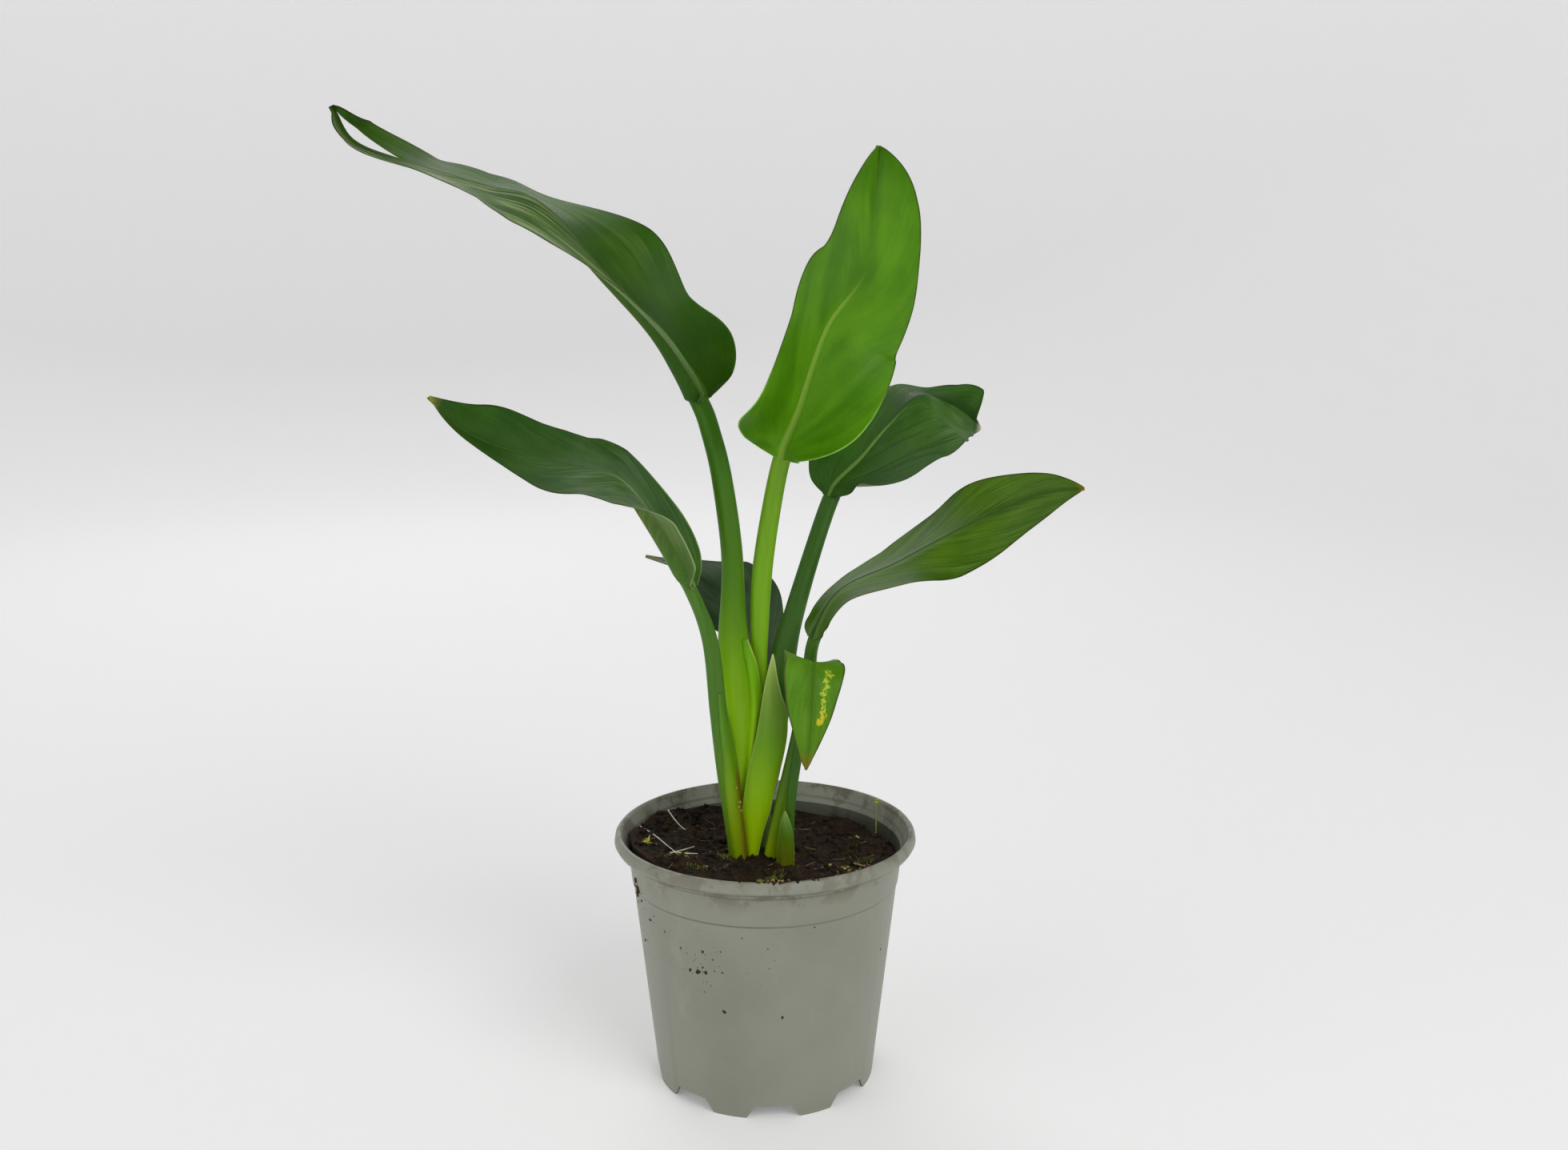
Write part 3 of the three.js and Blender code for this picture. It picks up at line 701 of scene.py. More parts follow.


# Waxy blade: veins, painted sheen streaks, a midrib that fades towards the tip, painted shade along its
# crease, thin margin, dry tip, and a paler underside whose keel goes on in the stalk's colour
def leafFinish(name, leaf):
    look = {**leafLook, **leaf["look"]}
    material = newMaterial(name + "BladeWax")
    uvMap, place = addNode("ShaderNodeUVMap")[0], objectPlace()
    u, t = splitAxes(uvMap)[:2]
    upper, rib = markValue("upper"), markValue("rib")
    veins = placeGroup(veinGroup, Map=uvMap, Length=lengthOf(leaf["midrib"]), Gap=look["bandGap"],
                       Lean=look["lean"] * max(leaf["halfWidth"]), Fine=look["streakGap"])
    clouds = noiseAt(place, 55.0)
    middle = (look["bands"] + look["streaks"]) / 2
    marks = scaled(veins["Bands"], look["bands"], -middle - look["plain"])
    marks = scaled(veins["Streaks"], look["streaks"], marks)
    marked = remap(t, *look["markedTo"], 1.0, look["tipMarks"])
    marked = times(remap(u, 0.47, 0.53, *look["markedSides"]), marked)
    tone = remap(scaled(marks, marked, scaled(clouds, 0.7, look["plain"] - 0.35)), -0.3, 0.3)
    # Painted sheen: pale streaks in patches, standing in for the wax's reflection
    patches = remap(noiseAt(stretched(uvMap, (2, 3, 1)), 2.0, 2.0), 0.35, 0.65)
    paintedSheen = times(remap(veins["Streaks"], *look["shineFrom"], 0.0, look["paintedSheen"]), patches)
    paintedSheen = times(times(paintedSheen, marked), remap(t, *look["shineStart"]))
    keel = times(remap(rib, 0.95, 2.0, 1.0, 0.0), remap(t, *look["keelEnd"], 1.0, 0.0))
    lit = layered(blendColour(tone, leaf["dark"], leaf["light"]), (paintedSheen, look["shineTint"]))
    shaded = layered(blendColour(tone, leaf["light"], leaf["under"]), (keel, leaf["stalkTints"][3]))
    fading = times(remap(t, *look["ribEnd"], 1.0, look["ribLeft"]), upper)
    beside = times(remap(rib, 0.7, 3.0, 0.5, 0.0), fading)
    ribLine = times(remap(rib, *look["ribWidth"], 0.9, 0.0), fading)
    # Painted shade: darker green along the midrib's crease where the rib line has faded, on the sides the
    # look picks
    creaseShade = times(remap(t, *look["ribEnd"], 0.0, look["creaseShade"]), remap(u, 0.49, 0.51, *look["creaseShadeSides"]))
    creaseShade = times(creaseShade, remap(rib, 1.0, look["creaseShadeReach"], 1.0, 0.0))
    edge = calc("SUBTRACT", markValue("margin"), scaled(noiseAt(place, 240.0, 2.0), 0.7, 0.05))
    edgeTint = blendColour(remap(t, 0.2, 0.35), look.get("baseMargin", leaf["margin"]), leaf["margin"])
    tip = calc("ADD", markValue("tip"), times(noiseAt(place, 300.0), leaf["tipReach"]))
    tip = remap(tip, leaf["tipReach"] * 0.5, leaf["tipReach"] * 1.5, 0.95, 0.0)
    green = layered(
        blendColour(upper, shaded, lit), (beside, look.get("beside", leaf["light"])), (ribLine, leaf["rib"]),
        (creaseShade, [value * 0.8 for value in leaf["dark"]]), (remap(edge, 0.0, 0.35, 0.85, 0.0), edgeTint),
        (tip, leaf["tip"]),
    )
    if "scar" in leaf:
        scar = times(markValue("scar"), scaled(noiseAt(place, 1100.0, 2.0, 0.6), 4.4, -1.5))
        golden = blendColour(remap(markValue("tip"), 11, 16), (206, 190, 40), (184, 200, 56))
        green = layered(green, (times(remap(scar, 0.16, 0.4, 0.0, 0.95), upper), golden))
    height = scaled(veins["Bands"], 1.2, scaled(veins["Lines"], 0.12, veins["Streaks"]))
    sockets = waxy(green, clouds, look["gloss"], 0.12, 0.25, 0.0012)
    return finishMaterial(material, sockets, height, 0.00035, look["relief"])


# Waxy stalk: long streaks, from pale at the foot to green at the top, and a sheath's pale free edge
def stalkFinish(name, tints, paleEdge=None, seam=0):
    material = newMaterial(name + "StalkWax")
    place = objectPlace()
    streaks = noiseAt(stretched(place, (520, 520, 14)), 1.0)
    clouds = noiseAt(stretched(place, (90, 90, 30)), 1.0)
    share = calc("ADD", markValue("up"), scaled(clouds, 0.16, -0.08))
    ramp = addNode("ShaderNodeValToRGB", {0: share})[0]
    ramp.node.color_ramp.interpolation = "B_SPLINE"
    stops = ramp.node.color_ramp.elements
    for index, stopShare in enumerate((0.08, 0.34, 0.56, 0.95)):
        stop = stops[index] if index < 2 else stops.new(stopShare)
        stop.position = stopShare
        stop.color = tint(tints[index])
    colour = blendColour(remap(streaks, 0.3, 0.75, 0.0, 0.24), ramp, (200, 216, 120), "MULTIPLY")
    if paleEdge:
        edge = calc("ADD", markValue("edge"), scaled(clouds, 0.4, -0.2))
        pale = times(remap(edge, 0.1, 0.7, 0.9, 0.0), remap(share, 0.55, 0.95, 0.3, 1.0))
        brown = times(remap(edge, 0.3, 2.2, seam, 0.0), remap(share, 0.35, 0.5, 1.0, 0.0))
        colour = layered(colour, (pale, paleEdge), (brown, (116, 78, 22)))
    return finishMaterial(material, waxy(colour, clouds, 0.22, 0.1, 0.2, 0.0015), streaks, 0.00025, 0.5)


for leafName, leafValues in leaves.items():
    makeStalk(leafName, leafValues)
    makeBlade(leafName, leafValues)
    print("leaf made:", leafName)


# Sheaths: the thin margins that clasp the stalks inside them. Each row goes up: its height, then its
# left edge, middle and right edge as [x, y], in millimetres; "free" edges stand clear and are pale.

sheaths = {
    "rear": {
        "rows": [[92.5, [-6.8, -12.4], [-5, -13.6], [-3.2, -12]],
            [104, [-8, -12.6], [-4.4, -14], [-0.8, -12]], [114, [-8.6, -12.8], [-3.2, -14.4], [2.2, -11.8]],
            [124, [-7.4, -12.8], [-1.4, -14.6], [4.4, -11.4]], [134, [-5.4, -12.6], [0.8, -14.4], [7, -10.8]],
            [144, [-3.2, -12.2], [2.8, -14], [8.7, -10.2]], [153, [-1.6, -11.8], [3.4, -13.4], [8.5, -9.8]],
            [160, [-0.5, -11.4], [2.9, -12.6], [6.4, -10]], [167, [0.9, -11], [2.9, -11.9], [4.8, -10.2]],
            [172, [2.1, -10.8], [3.1, -11.4], [4.1, -10.4]], [176, [3.1, -10.6], [3.2, -10.7], [3.3, -10.6]]],
        "free": (1, 1), "edge": (200, 216, 140),
        "tints": [(160, 194, 0), (130, 182, 0), (88, 144, 0), (176, 200, 100)],
    },
    "tall": {
        "rows": [[92.5, [-9.5, -7], [-8.4, -10.6], [-7, -9]], [113, [-8.6, -6], [-7.4, -10.2], [-6, -8.6]],
            [126, [-8, -6], [-6.4, -10], [-4.6, -8]], [139, [-7.2, -5.8], [-5.2, -9.4], [-3.2, -7.2]],
            [150, [-6.5, -5.5], [-4.2, -9], [-1.7, -6.6]], [157, [-6.5, -5.5], [-4, -8.8], [-1, -6.4]],
            [164, [-7, -5.5], [-4.6, -8.7], [-1.8, -6.6]], [171, [-8, -5.5], [-5.8, -8.6], [-3, -7]],
            [176, [-9, -5.5], [-7.4, -8.4], [-4.6, -7.4]], [181, [-9.5, -6], [-8.4, -8.2], [-6.5, -7.4]]],
        "free": (0, 1), "edge": (176, 196, 76),
        "tints": [(150, 184, 2), (168, 220, 0), (140, 204, 0), (96, 156, 14)],
    },
    "left": {
        "rows": [[92.5, [-12.8, -15.4], [-9.8, -17.4], [-6.8, -13]],
            [111, [-14.6, -15.6], [-11.6, -17.8], [-8.3, -12.2]],
            [124, [-15.9, -15.8], [-12.8, -18], [-9.7, -11.8]],
            [135, [-16.6, -16], [-13.8, -18.3], [-10.9, -11.8]],
            [146, [-17.6, -16.4], [-15.2, -18.6], [-12.5, -12.6]],
            [155, [-18, -16.8], [-16.2, -18.8], [-14.4, -14]],
            [162.5, [-18, -17.4], [-17.2, -18.9], [-16.1, -16.4]]],
        "free": (0, 1), "edge": (140, 164, 60), "seam": 0.9,
        "tints": [(128, 152, 4), (120, 160, 4), (88, 138, 14), (80, 128, 34)],
    },
    "folded": {
        "rows": [[92.5, [4.6, -19.5], [8.2, -21.6], [11.5, -19.5]],
            [100, [4.9, -20], [8.2, -22], [11.5, -20]], [107, [5.5, -20.4], [8.2, -22], [11, -20.4]],
            [112.5, [6.4, -20.8], [8, -21.8], [9.6, -20.8]], [116.5, [7.7, -21], [7.8, -21.2], [8, -21]]],
        "free": (1, 1), "edge": (116, 142, 70),
        "tints": [(104, 106, 16), (84, 114, 8), (74, 118, 14), (120, 150, 70)],
    },
}
sheathForm = {"columns": 20, "rows": 90, "thickness": 0.35, "ripple": 0.1}


def makeSheath(name, sheath):
    piece = gridPiece(name + "Sheath", sheathForm)
    places, up, edge = [], [], []
    heights, *lines = zip(*sheath["rows"])
    for vertex in piece.data.vertices:
        share, across = (vertex.co.y + 1) / 2, (vertex.co.x + 1) / 2
        left, middle, right = [smoothValue(line, share) for line in lines]
        spot = left * (1 - across) ** 2 + middle * 2 * across * (1 - across) + right * across ** 2
        spot += (middle - (left + right) / 2) * 2 * across * (1 - across)
        ripple = sheathForm["ripple"] * math.sin(9 * share + 5 * vertex.co.x)
        places.append(Vector((spot.x, spot.y + ripple, smoothValue(heights, share))))
        up.append(share)
        gaps = [gap for gap, free in zip((across, 1 - across), sheath["free"]) if free]
        edge.append(min(gaps) * (right - left).length)
    setPlaces(piece, places)
    setMarks(piece, up=up, edge=edge)
    applyModifier(piece, "SOLIDIFY", thickness=sheathForm["thickness"] * mm, offset=0)
    closeSurface(piece, 60)
    finish = stalkFinish(name + "Sheath", sheath["tints"], sheath["edge"], sheath.get("seam", 0))
    keepPiece(piece, finish, name + "_leaf_stalk", name + "_leaf_stalk")


for sheathName, sheathValues in sheaths.items():
    makeSheath(sheathName, sheathValues)
print("sheaths made")


# Pot: a thin-walled moulded shell. Millimetres.

pot = {
    "rim": 60, "height": 102.2, "base": 43.7, "wall": 1.2, "collarHeight": 93.9, "collar": 54.5,
    "stepHeight": 82.2, "step": 0.4, "lip": 5.2, "foot": 5.5, "feet": 8, "firstFoot": -108,
    "arch": 22, "slant": 4, "hub": 31, "drain": 3.2, "segments": 176, "bevel": 0.35,
}
# The seam colour is for painted shade lines under the pot's steps; the lip's brown and the dark lining are
# dirt with painted shade
potTints = {
    "grey": (125, 127, 112), "pale": (137, 138, 124), "grain": (160, 160, 146), "scuff": (164, 164, 148),
    "dust": (70, 62, 52), "stainAndShade": (88, 78, 54), "seam": (64, 60, 48), "liningDirtAndShade": (52, 55, 34),
    "soiledAndShaded": (24, 21, 12),
}


def wallRadius(z):
    return mixed(pot["base"], pot["collar"], z / pot["collarHeight"])


def innerRadius(z):
    return wallRadius(z) - pot["wall"]


# The lip's top and inner slope, from the outside in
def lipSlope():
    rim, top, lipFoot = pot["rim"], pot["height"], pot["height"] - pot["lip"]
    return [(rim - 1.3, top - 0.1), (rim - 2.2, top), (rim - 3, top - 0.8), (rim - 3.6, lipFoot + 2.4),
            (pot["collar"] + 0.1, lipFoot - 0.6)]


# From the middle of the underside out, up, over the lip and back in along the floor
def potProfile():
    ringTop, lipFoot = pot["foot"] + pot["wall"], pot["height"] - pot["lip"]
    step, collar, rim, hub = pot["stepHeight"], pot["collar"], pot["rim"], pot["hub"]
    outside = [
        (0, 0), (hub, 0), (hub + 0.8, pot["foot"]), (innerRadius(pot["foot"]), pot["foot"]),
        (pot["base"] - pot["wall"], 0), (pot["base"], 0), (wallRadius(step) - pot["step"], step),
        (wallRadius(step + 0.5), step + 0.5), (collar, pot["collarHeight"]),
        (collar + 1.1, pot["collarHeight"] + 0.5), (collar + 1.3, lipFoot + 0.3), (rim - 0.9, lipFoot),
        (rim, lipFoot + 1.6), (rim - 0.4, pot["height"] - 1.3),
    ]
    inside = [
        (innerRadius(pot["collarHeight"]), pot["collarHeight"] - 1), (innerRadius(step), step),
        (innerRadius(ringTop), ringTop), (hub + 1.9, ringTop), (hub + 1.1, pot["wall"]), (0, pot["wall"]),
    ]
    return outside + lipSlope() + inside


# Slots between the feet and the round drain holes above them, as one cutter
def potCutter():
    parts = []
    skirt = pot["base"] - pot["wall"]
    for index in range(pot["feet"]):
        angle = math.radians(pot["firstFoot"]) + (index + 0.5) * fullTurn / pot["feet"]
        turned = Matrix.Rotation(angle, 4, "Z")
        bpy.ops.mesh.primitive_cube_add(size=2)
        slot = bpy.context.object
        for vertex in slot.data.vertices:
            top = vertex.co.z > 0
            half = pot["arch"] / 2 - (pot["slant"] if top else 0)
            spot = Vector((skirt + 1 + 5 * vertex.co.x, half * vertex.co.y, pot["foot"] - 0.1 if top else -1))
            vertex.co = turned @ spot * mm
        bpy.ops.mesh.primitive_cylinder_add(vertices=32, radius=pot["drain"] * mm, depth=6 * mm)
        hole = bpy.context.object
        middle = Vector(((pot["hub"] + skirt) / 2 + 0.6, 0, pot["foot"]))
        hole.data.transform(Matrix.Translation(turned @ middle * mm))
        parts += [slot, hole]
    return joinPieces("potCutter", parts)


def makePot():
    bpy.ops.mesh.primitive_plane_add(size=1 * mm)
    piece = namedPiece("nurseryPot")
    editMode(True)
    selectMesh()
    bpy.ops.mesh.merge(type="CENTER")
    profile = [Vector((radius, 0, z)) * mm for radius, z in potProfile()]
    for start, end in zip(profile, profile[1:]):
        extrudeBy(*(end - start))
    selectMesh()
    bpy.ops.mesh.spin(steps=pot["segments"], angle=fullTurn, center=(0, 0, 0), axis=(0, 0, 1))
    selectMesh()
    bpy.ops.mesh.remove_doubles(threshold=0.01 * mm)
    turnOutwards()
    editMode(False)
    cutter = potCutter()
    applyModifier(piece, "BOOLEAN", operation="DIFFERENCE", solver="EXACT", object=cutter)
    bpy.data.objects.remove(cutter)
    applyModifier(piece, "BEVEL", width=pot["bevel"] * mm, segments=3, limit_method="ANGLE",
                  angle_limit=math.radians(28), use_clamp_overlap=True)
    smoothShade(piece, 35)
    keepPiece(piece, potFinish(), "pot", "pot")
    print("pot made")


def dirtMask(place, scale, cover):
    return placeGroup(dirtGroup, Place=place, Scale=scale, Cover=cover)[0]


# Satin grey plastic with scuffs, soil dust down one side, a brown film on the lip that adds painted shade on
# its outer face, painted shade lines under the steps, and a dark lining of dirt and painted shade
def potFinish():
    material = newMaterial("greyPlastic")
    place = objectPlace()
    x, y, z = splitAxes(place)
    clouds, grain = noiseAt(place, 22.0, 4.0), noiseAt(place, 900.0, 2.0)
    across = calc("SQRT", calc("ADD", times(x, x), times(y, y)))
    scuffs = remap(dirtMask(stretched(place, (1, 1, 0.35)), 46.0, 0.42), 0, 1.5, 0, 0.22)
    dust = times(remap(dirtMask(place, 260.0, 0.33), 0, 0.6, 0, 0.6), remap(x, -0.045, 0.01, 1.0, 0.12))
    film = remap(dirtMask(place, 70.0, 0.52), 0, 1)
    # Brown film on the lip and the wall under it is dirt; on the lip's outer face it also serves as painted
    # shade
    outerRim = remap(across, (pot["rim"] - 0.9) * mm, (pot["rim"] - 2) * mm, 0.55, 1.0)
    stainAndShade = times(times(film, remap(z, 0.084, 0.101, 0.0, 0.75)), outerRim)
    # Painted shade: dark, uneven lines just under the stacking step, the collar and the lip
    stepShadeLines = []
    for height in (pot["stepHeight"] + 0.2, pot["collarHeight"] + 0.3, pot["height"] - pot["lip"] + 0.2):
        away = calc("ABSOLUTE", calc("SUBTRACT", z, height * mm))
        line = times(remap(away, 0.2 * mm, 0.7 * mm, 0.5, 0.0), remap(clouds, 0.3, 0.6, 0.3, 1.0))
        stepShadeLines.append((line, potTints["seam"]))
    # The inside wall is darkened with dirt and painted shade, most below the lip's top
    taper = (pot["collar"] - pot["base"]) / pot["collarHeight"]
    insideWall = calc("LESS_THAN", across, scaled(z, taper, (pot["base"] - pot["wall"] / 2) * mm))
    liningDirtAndShade = times(insideWall, remap(z, 0.0985, 0.1015, 0.93, 0.28))
    grey = layered(
        blendColour(remap(clouds, 0.3, 0.7), potTints["grey"], potTints["pale"]),
        (times(grain, 0.1), potTints["grain"]), (scuffs, potTints["scuff"]), (dust, potTints["dust"]),
        (stainAndShade, potTints["stainAndShade"]), *stepShadeLines,
        (liningDirtAndShade, blendColour(film, potTints["liningDirtAndShade"], potTints["soiledAndShaded"])),
    )
    sockets = {"Base Color": grey, "Roughness": remap(clouds, 0.3, 0.7, 0.4, 0.52)}
    return finishMaterial(material, sockets, scaled(grain, 0.3, clouds), 0.0004, 0.35)


makePot()


# Peat: heaped at the front left, low at the back right, with clods and crumbs. Millimetres.

peat = {
    "level": 93.4, "lean": 5.5, "lowAngle": 38, "rimRise": 1.6, "rough": 0.7, "sides": 300, "rings": 86,
    "clear": 0.3, "footClear": 0.09,
    "waves": [(5, 9, 0), (3, -14, 1), (11, 5, 0)], "clods": 1.3, "grit": 0.55,
    "crumbs": 1500, "crumbReach": 52.2, "crumbSize": (0.25, 1.5),
    "spilled": 90, "spillAngle": -84, "spillSize": (0.3, 0.9),
}


def peatHeight(share, angle):
    lean = -peat["lean"] * share * math.cos(angle - math.radians(peat["lowAngle"]))
    waves = sum(math.sin(around * angle + out * share + start) for around, out, start in peat["waves"])
    return peat["level"] + lean + peat["rimRise"] * share ** 3 + peat["rough"] * waves * share


# Height of the surface with its clods
def peatSurface(x, y):
    angle = math.atan2(y, x)
    edge = innerRadius(peatHeight(1, angle)) - 2 * peat["clear"]
    share = min(math.hypot(x, y) / edge, 1)
    clod = noise.fractal(Vector((x, y, 3)) / 7, 0.9, 2.1, 3)
    grit = noise.fractal(Vector((x, y, 9)) / 1.7, 0.8, 2.2, 3)
    fade = 1 - 0.75 * ease(share, 0.93, 1)
    return peatHeight(share, angle) + (peat["clods"] * clod + peat["grit"] * grit) * fade


def onPeat(x, y, lift):
    return Vector((x, y, peatSurface(x, y) + lift))


# Three rings stand up the pot's wall, and the others close in over the top
def makePeat():
    wallRings = 3
    piece = columnPiece("peat", peat["sides"], wallRings + peat["rings"] - 1)
    bpy.ops.mesh.poke()
    editMode(False)
    bottom = pot["foot"] + pot["wall"] + peat["clear"]
    places = []
    for vertex in piece.data.vertices:
        ring = round(vertex.co.z)
        angle = math.atan2(vertex.co.y, vertex.co.x)
        top = peatHeight(1, angle)
        if ring < wallRings:
            z = (bottom, bottom + 30, top - 6)[ring]
            radius = innerRadius(z) - (peat["clear"] if ring else peat["footClear"])
        else:
            share = 1 - (ring - wallRings) / peat["rings"] if vertex.co.to_2d().length > 0.5 else 0
            radius = share * (innerRadius(top) - peat["clear"])
            z = peatSurface(radius * math.cos(angle), radius * math.sin(angle))
        places.append(Vector((radius * math.cos(angle), radius * math.sin(angle), z)))
    setPlaces(piece, places)
    closeSurface(piece, 180)
    keepPiece(piece, peatFinish("dampPeat", 0), "soil", "soil")


# Dark fibrous peat, browner on the high grains and paler by a lift where it has dried
def peatFinish(name, lift):
    material = newMaterial(name)
    place = objectPlace()
    clouds, grains = noiseAt(place, 120.0, 4.0, 0.6), noiseAt(place, 900.0, 4.0, 0.7)
    fibre = noiseAt(stretched(place, (1800, 500, 700)), 1.0, 3.0, 0.7)
    dark, light = [[value + lift for value in colour] for colour in ((15, 10, 7), (60, 44, 28))]
    brown = layered(
        blendColour(remap(clouds, 0.3, 0.75), dark, light), (remap(grains, 0.5, 0.85), (84, 66, 42)),
        (remap(fibre, 0.68, 0.82, 0, 0.6), (128, 104, 66)),
    )
    roughness = remap(clouds, 0.3, 0.7, 0.7, 0.95)
    sockets = {"Base Color": brown, "Roughness": roughness, "Specular IOR Level": 0.15}
    return finishMaterial(material, sockets, scaled(grains, 1.4, fibre), 0.0006, 0.9)


# Small lumps of radius 1, each dented by noise from its own seed
def lumps(count, firstSeed, seedStep, subdivisions):
    shapes = []
    for index in range(count):
        bpy.ops.mesh.primitive_ico_sphere_add(subdivisions=subdivisions, radius=1)
        shapes.append(bpy.context.object)
        for vertex in shapes[-1].data.vertices:
            dent = noise.noise(vertex.co * 1.3 + Vector((firstSeed + index * seedStep, 0, 0)))
            vertex.co = vertex.co * (1 + 0.45 * dent)
    return shapes


def turnedBy(aroundZ, aroundX):
    return Matrix.Rotation(aroundZ, 4, "Z") @ Matrix.Rotation(aroundX, 4, "X")


def randomTurn():
    return turnedBy(dice.uniform(0, fullTurn), dice.uniform(0, math.pi))


def randomSpot(reach):
    angle, radius = dice.uniform(0, fullTurn), reach * math.sqrt(dice.random())
    return radius * math.cos(angle), radius * math.sin(angle)


def spotNear(x, y, wide, deep):
    return Vector((x + dice.gauss(0, wide), y + dice.gauss(0, deep)))


def makeCrumbs():
    placements = []
    for index in range(peat["crumbs"]):
        x, y = randomSpot(peat["crumbReach"])
        size = mixed(*peat["crumbSize"], dice.random() ** 3.2)
        sizes = [size * dice.uniform(0.7, 1.3) for axis in range(3)]
        placements.append(sizedAt(onPeat(x, y, size * 0.25), randomTurn(), *sizes))
    spill = random.Random(5)
    for index in range(peat["spilled"]):        # these lie on the lip at the front
        angle = math.radians(peat["spillAngle"] + spill.gauss(0, 6))
        radius, z = smoothValue(lipSlope(), spill.random())
        size = mixed(*peat["spillSize"], spill.random() ** 2)
        place = (radius * math.cos(angle), radius * math.sin(angle), z)
        placements.append(sizedAt(place, randomTurn(), size, size * 0.8, size))
    scatterPiece("peatCrumbs", lumps(5, 0, 7.1, 1), placements, peatFinish("peatCrumb", 8), "soil")


makePeat()
makeCrumbs()
print("peat made")


# Litter on the peat and specks on the pot. Millimetres: wires by their points, and each kind's form as
# (radius, share of it at the end, smoothness); specks as (degrees from the front, height, size); moss and
# spilled grains as (x, y, count); grains on a sheath's seam as (x, y, z, size).

litter = {
    "roots": [
        [(-40.6, 23.3, 101), (-38, 19, 99), (-35, 14, 96.5), (-32.5, 9.4, 93.6)],
        [(-51, 11, 97), (-45.8, 5.6, 96.6), (-41, -6, 96.2), (-36.8, -17.1, 96), (-33.6, -27, 95.4)],
        [(-36, -27, 95.6), (-32.4, -17.6, 96.8), (-28, -8, 95.6)],
        [(-34.6, -25.9, 95.8), (-29.9, -26.7, 96.8), (-25.9, -21.8, 95.8)],
        [(-45.8, 5.6, 96.6), (-46.6, 0, 97), (-46.8, -5, 96.6)],
    ],
    "straws": [
        [(-38, 44, 91.8), (-33, 43.5, 92.8), (-26, 41, 92)],
        [(-30, -26, 97), (-24, -29, 97.3), (-19, -30, 96.8)],
        [(22, -30, 94), (27, -31, 94), (33, -29, 93)],
        [(35, -14, 92.3), (39, -17, 92.5), (42, -21, 92)],
    ],
    "strawForm": (0.42, 0.7, 2), "fibreForm": (0.13, 0.6, 0),
    "rootForm": (0.26, 0.6, 1), "stemForm": (0.3, 0.7, 1),
    "fibres": 70, "fibreReach": 50, "fibreHalf": (1.2, 3.5), "reach": 51.5, "rootLift": 0.9,
    "specks": [
        (-68.8, 87.5, 1.6), (-67, 84.1, 2.1), (-71, 80.5, 1.2), (-26.5, 69.8, 0.8), (-33.8, 60.7, 1.1),
        (-29.7, 60.7, 1.5), (-25.7, 61.2, 1.1), (-18, 45.7, 1.2), (8.2, 44.3, 1), (-22.2, 67.2, 0.5),
        (-58.1, 74.5, 0.9), (-68, 62.4, 1), (-47.2, 73, 0.6), (-38.1, 68.8, 0.6), (-18.4, 71.1, 0.5),
        (-27.2, 52.7, 0.5), (-36.9, 43.5, 0.5), (21, 81, 0.5), (64, 60, 0.7), (130, 70, 1.2), (-140, 76, 0.8),
    ],
    "specksBeside": 5, "fineSpecks": 90, "fineSides": (-95, 10), "fineHeights": (36, 81),
    "moss": [
        (-2, -49.5, 100), (-15.8, -18.3, 130), (3.6, -35, 150), (-32.6, -25, 200), (-24, -34, 130),
        (33, -22, 150), (39, -12, 90),
    ],
    "mossSize": (0.35, 0.75), "grainSize": (0.25, 0.6),
    "grains": [
        (-10.7, -18.2, 124.8, 0.35), (-9.5, -18, 118.9, 0.5), (-9.9, -18.1, 117, 0.35),
        (-9, -17.8, 115.4, 0.4),
    ],
    "spilledGrains": [
        (27.8, -19.2, 9), (32.9, -23.3, 8), (38.7, -18.3, 7), (30, -27, 8), (37.5, 23.9, 2), (1, -50, 14),
        (6, -50.5, 12),
    ],
    "seedlings": [
        {"foot": (-37.5, -8.2), "head": (-47.3, -6.4, 98.5), "lean": (-4, 1)},
        {"foot": (-40, -14), "head": (-46, -17, 97), "lean": (-2, -2)},
        {"foot": (45.8, 22.7), "head": (45.7, 24.8, 104), "lean": (0.6, 0)},
    ],
    "buds": 9, "budSize": (0.3, 0.6),
}


def plainFinish(name, dark, light, roughness=0.6, scale=300.0):
    material = newMaterial(name)
    tone = noiseAt(objectPlace(), scale)
    sockets = {"Base Color": blendColour(remap(tone, 0.3, 0.7), dark, light), "Roughness": roughness}
    return finishMaterial(material, sockets, tone, 0.0002, 0.5)


def makeStraws():
    straws = [addWire(points, *litter["strawForm"]) for points in litter["straws"]]
    for index in range(litter["fibres"]):
        middle = Vector(randomSpot(litter["fibreReach"]))
        way = Vector((dice.uniform(-1, 1), dice.uniform(-1, 1))).normalized()
        way *= dice.uniform(*litter["fibreHalf"])
        spots = [middle - way, middle, middle + way]
        spots = [spot / max(spot.length / litter["reach"], 1) for spot in spots]
        straws.append(addWire([onPeat(*spot, 0.25) for spot in spots], *litter["fibreForm"]))
    keepWires("strawBits", straws, plainFinish("dryStraw", (120, 96, 60), (176, 150, 100), 0.7))


def makeRoots():
    roots = []
    for points in litter["roots"]:
        lying = [(x, y, max(z, peatSurface(x, y) + litter["rootLift"])) for x, y, z in points]
        roots.append(addWire(lying, *litter["rootForm"]))
    keepWires("paleThreads", roots, plainFinish("paleFibre", (204, 200, 178), (236, 234, 218)))


# A flat speck on the pot's wall, at an angle from the front and a height
def speckAt(angle, z, size, flat):
    turned = Matrix.Rotation(math.radians(angle), 4, "Z")
    radius = wallRadius(z) - (pot["step"] if z < pot["stepHeight"] else 0)
    place = turned @ Vector((0, -radius - size * flat * 0.2, z))
    spin = turned @ Matrix.Rotation(dice.uniform(0, 6), 4, "Y")
    return sizedAt(place, spin, size, size * flat, size * 0.7)


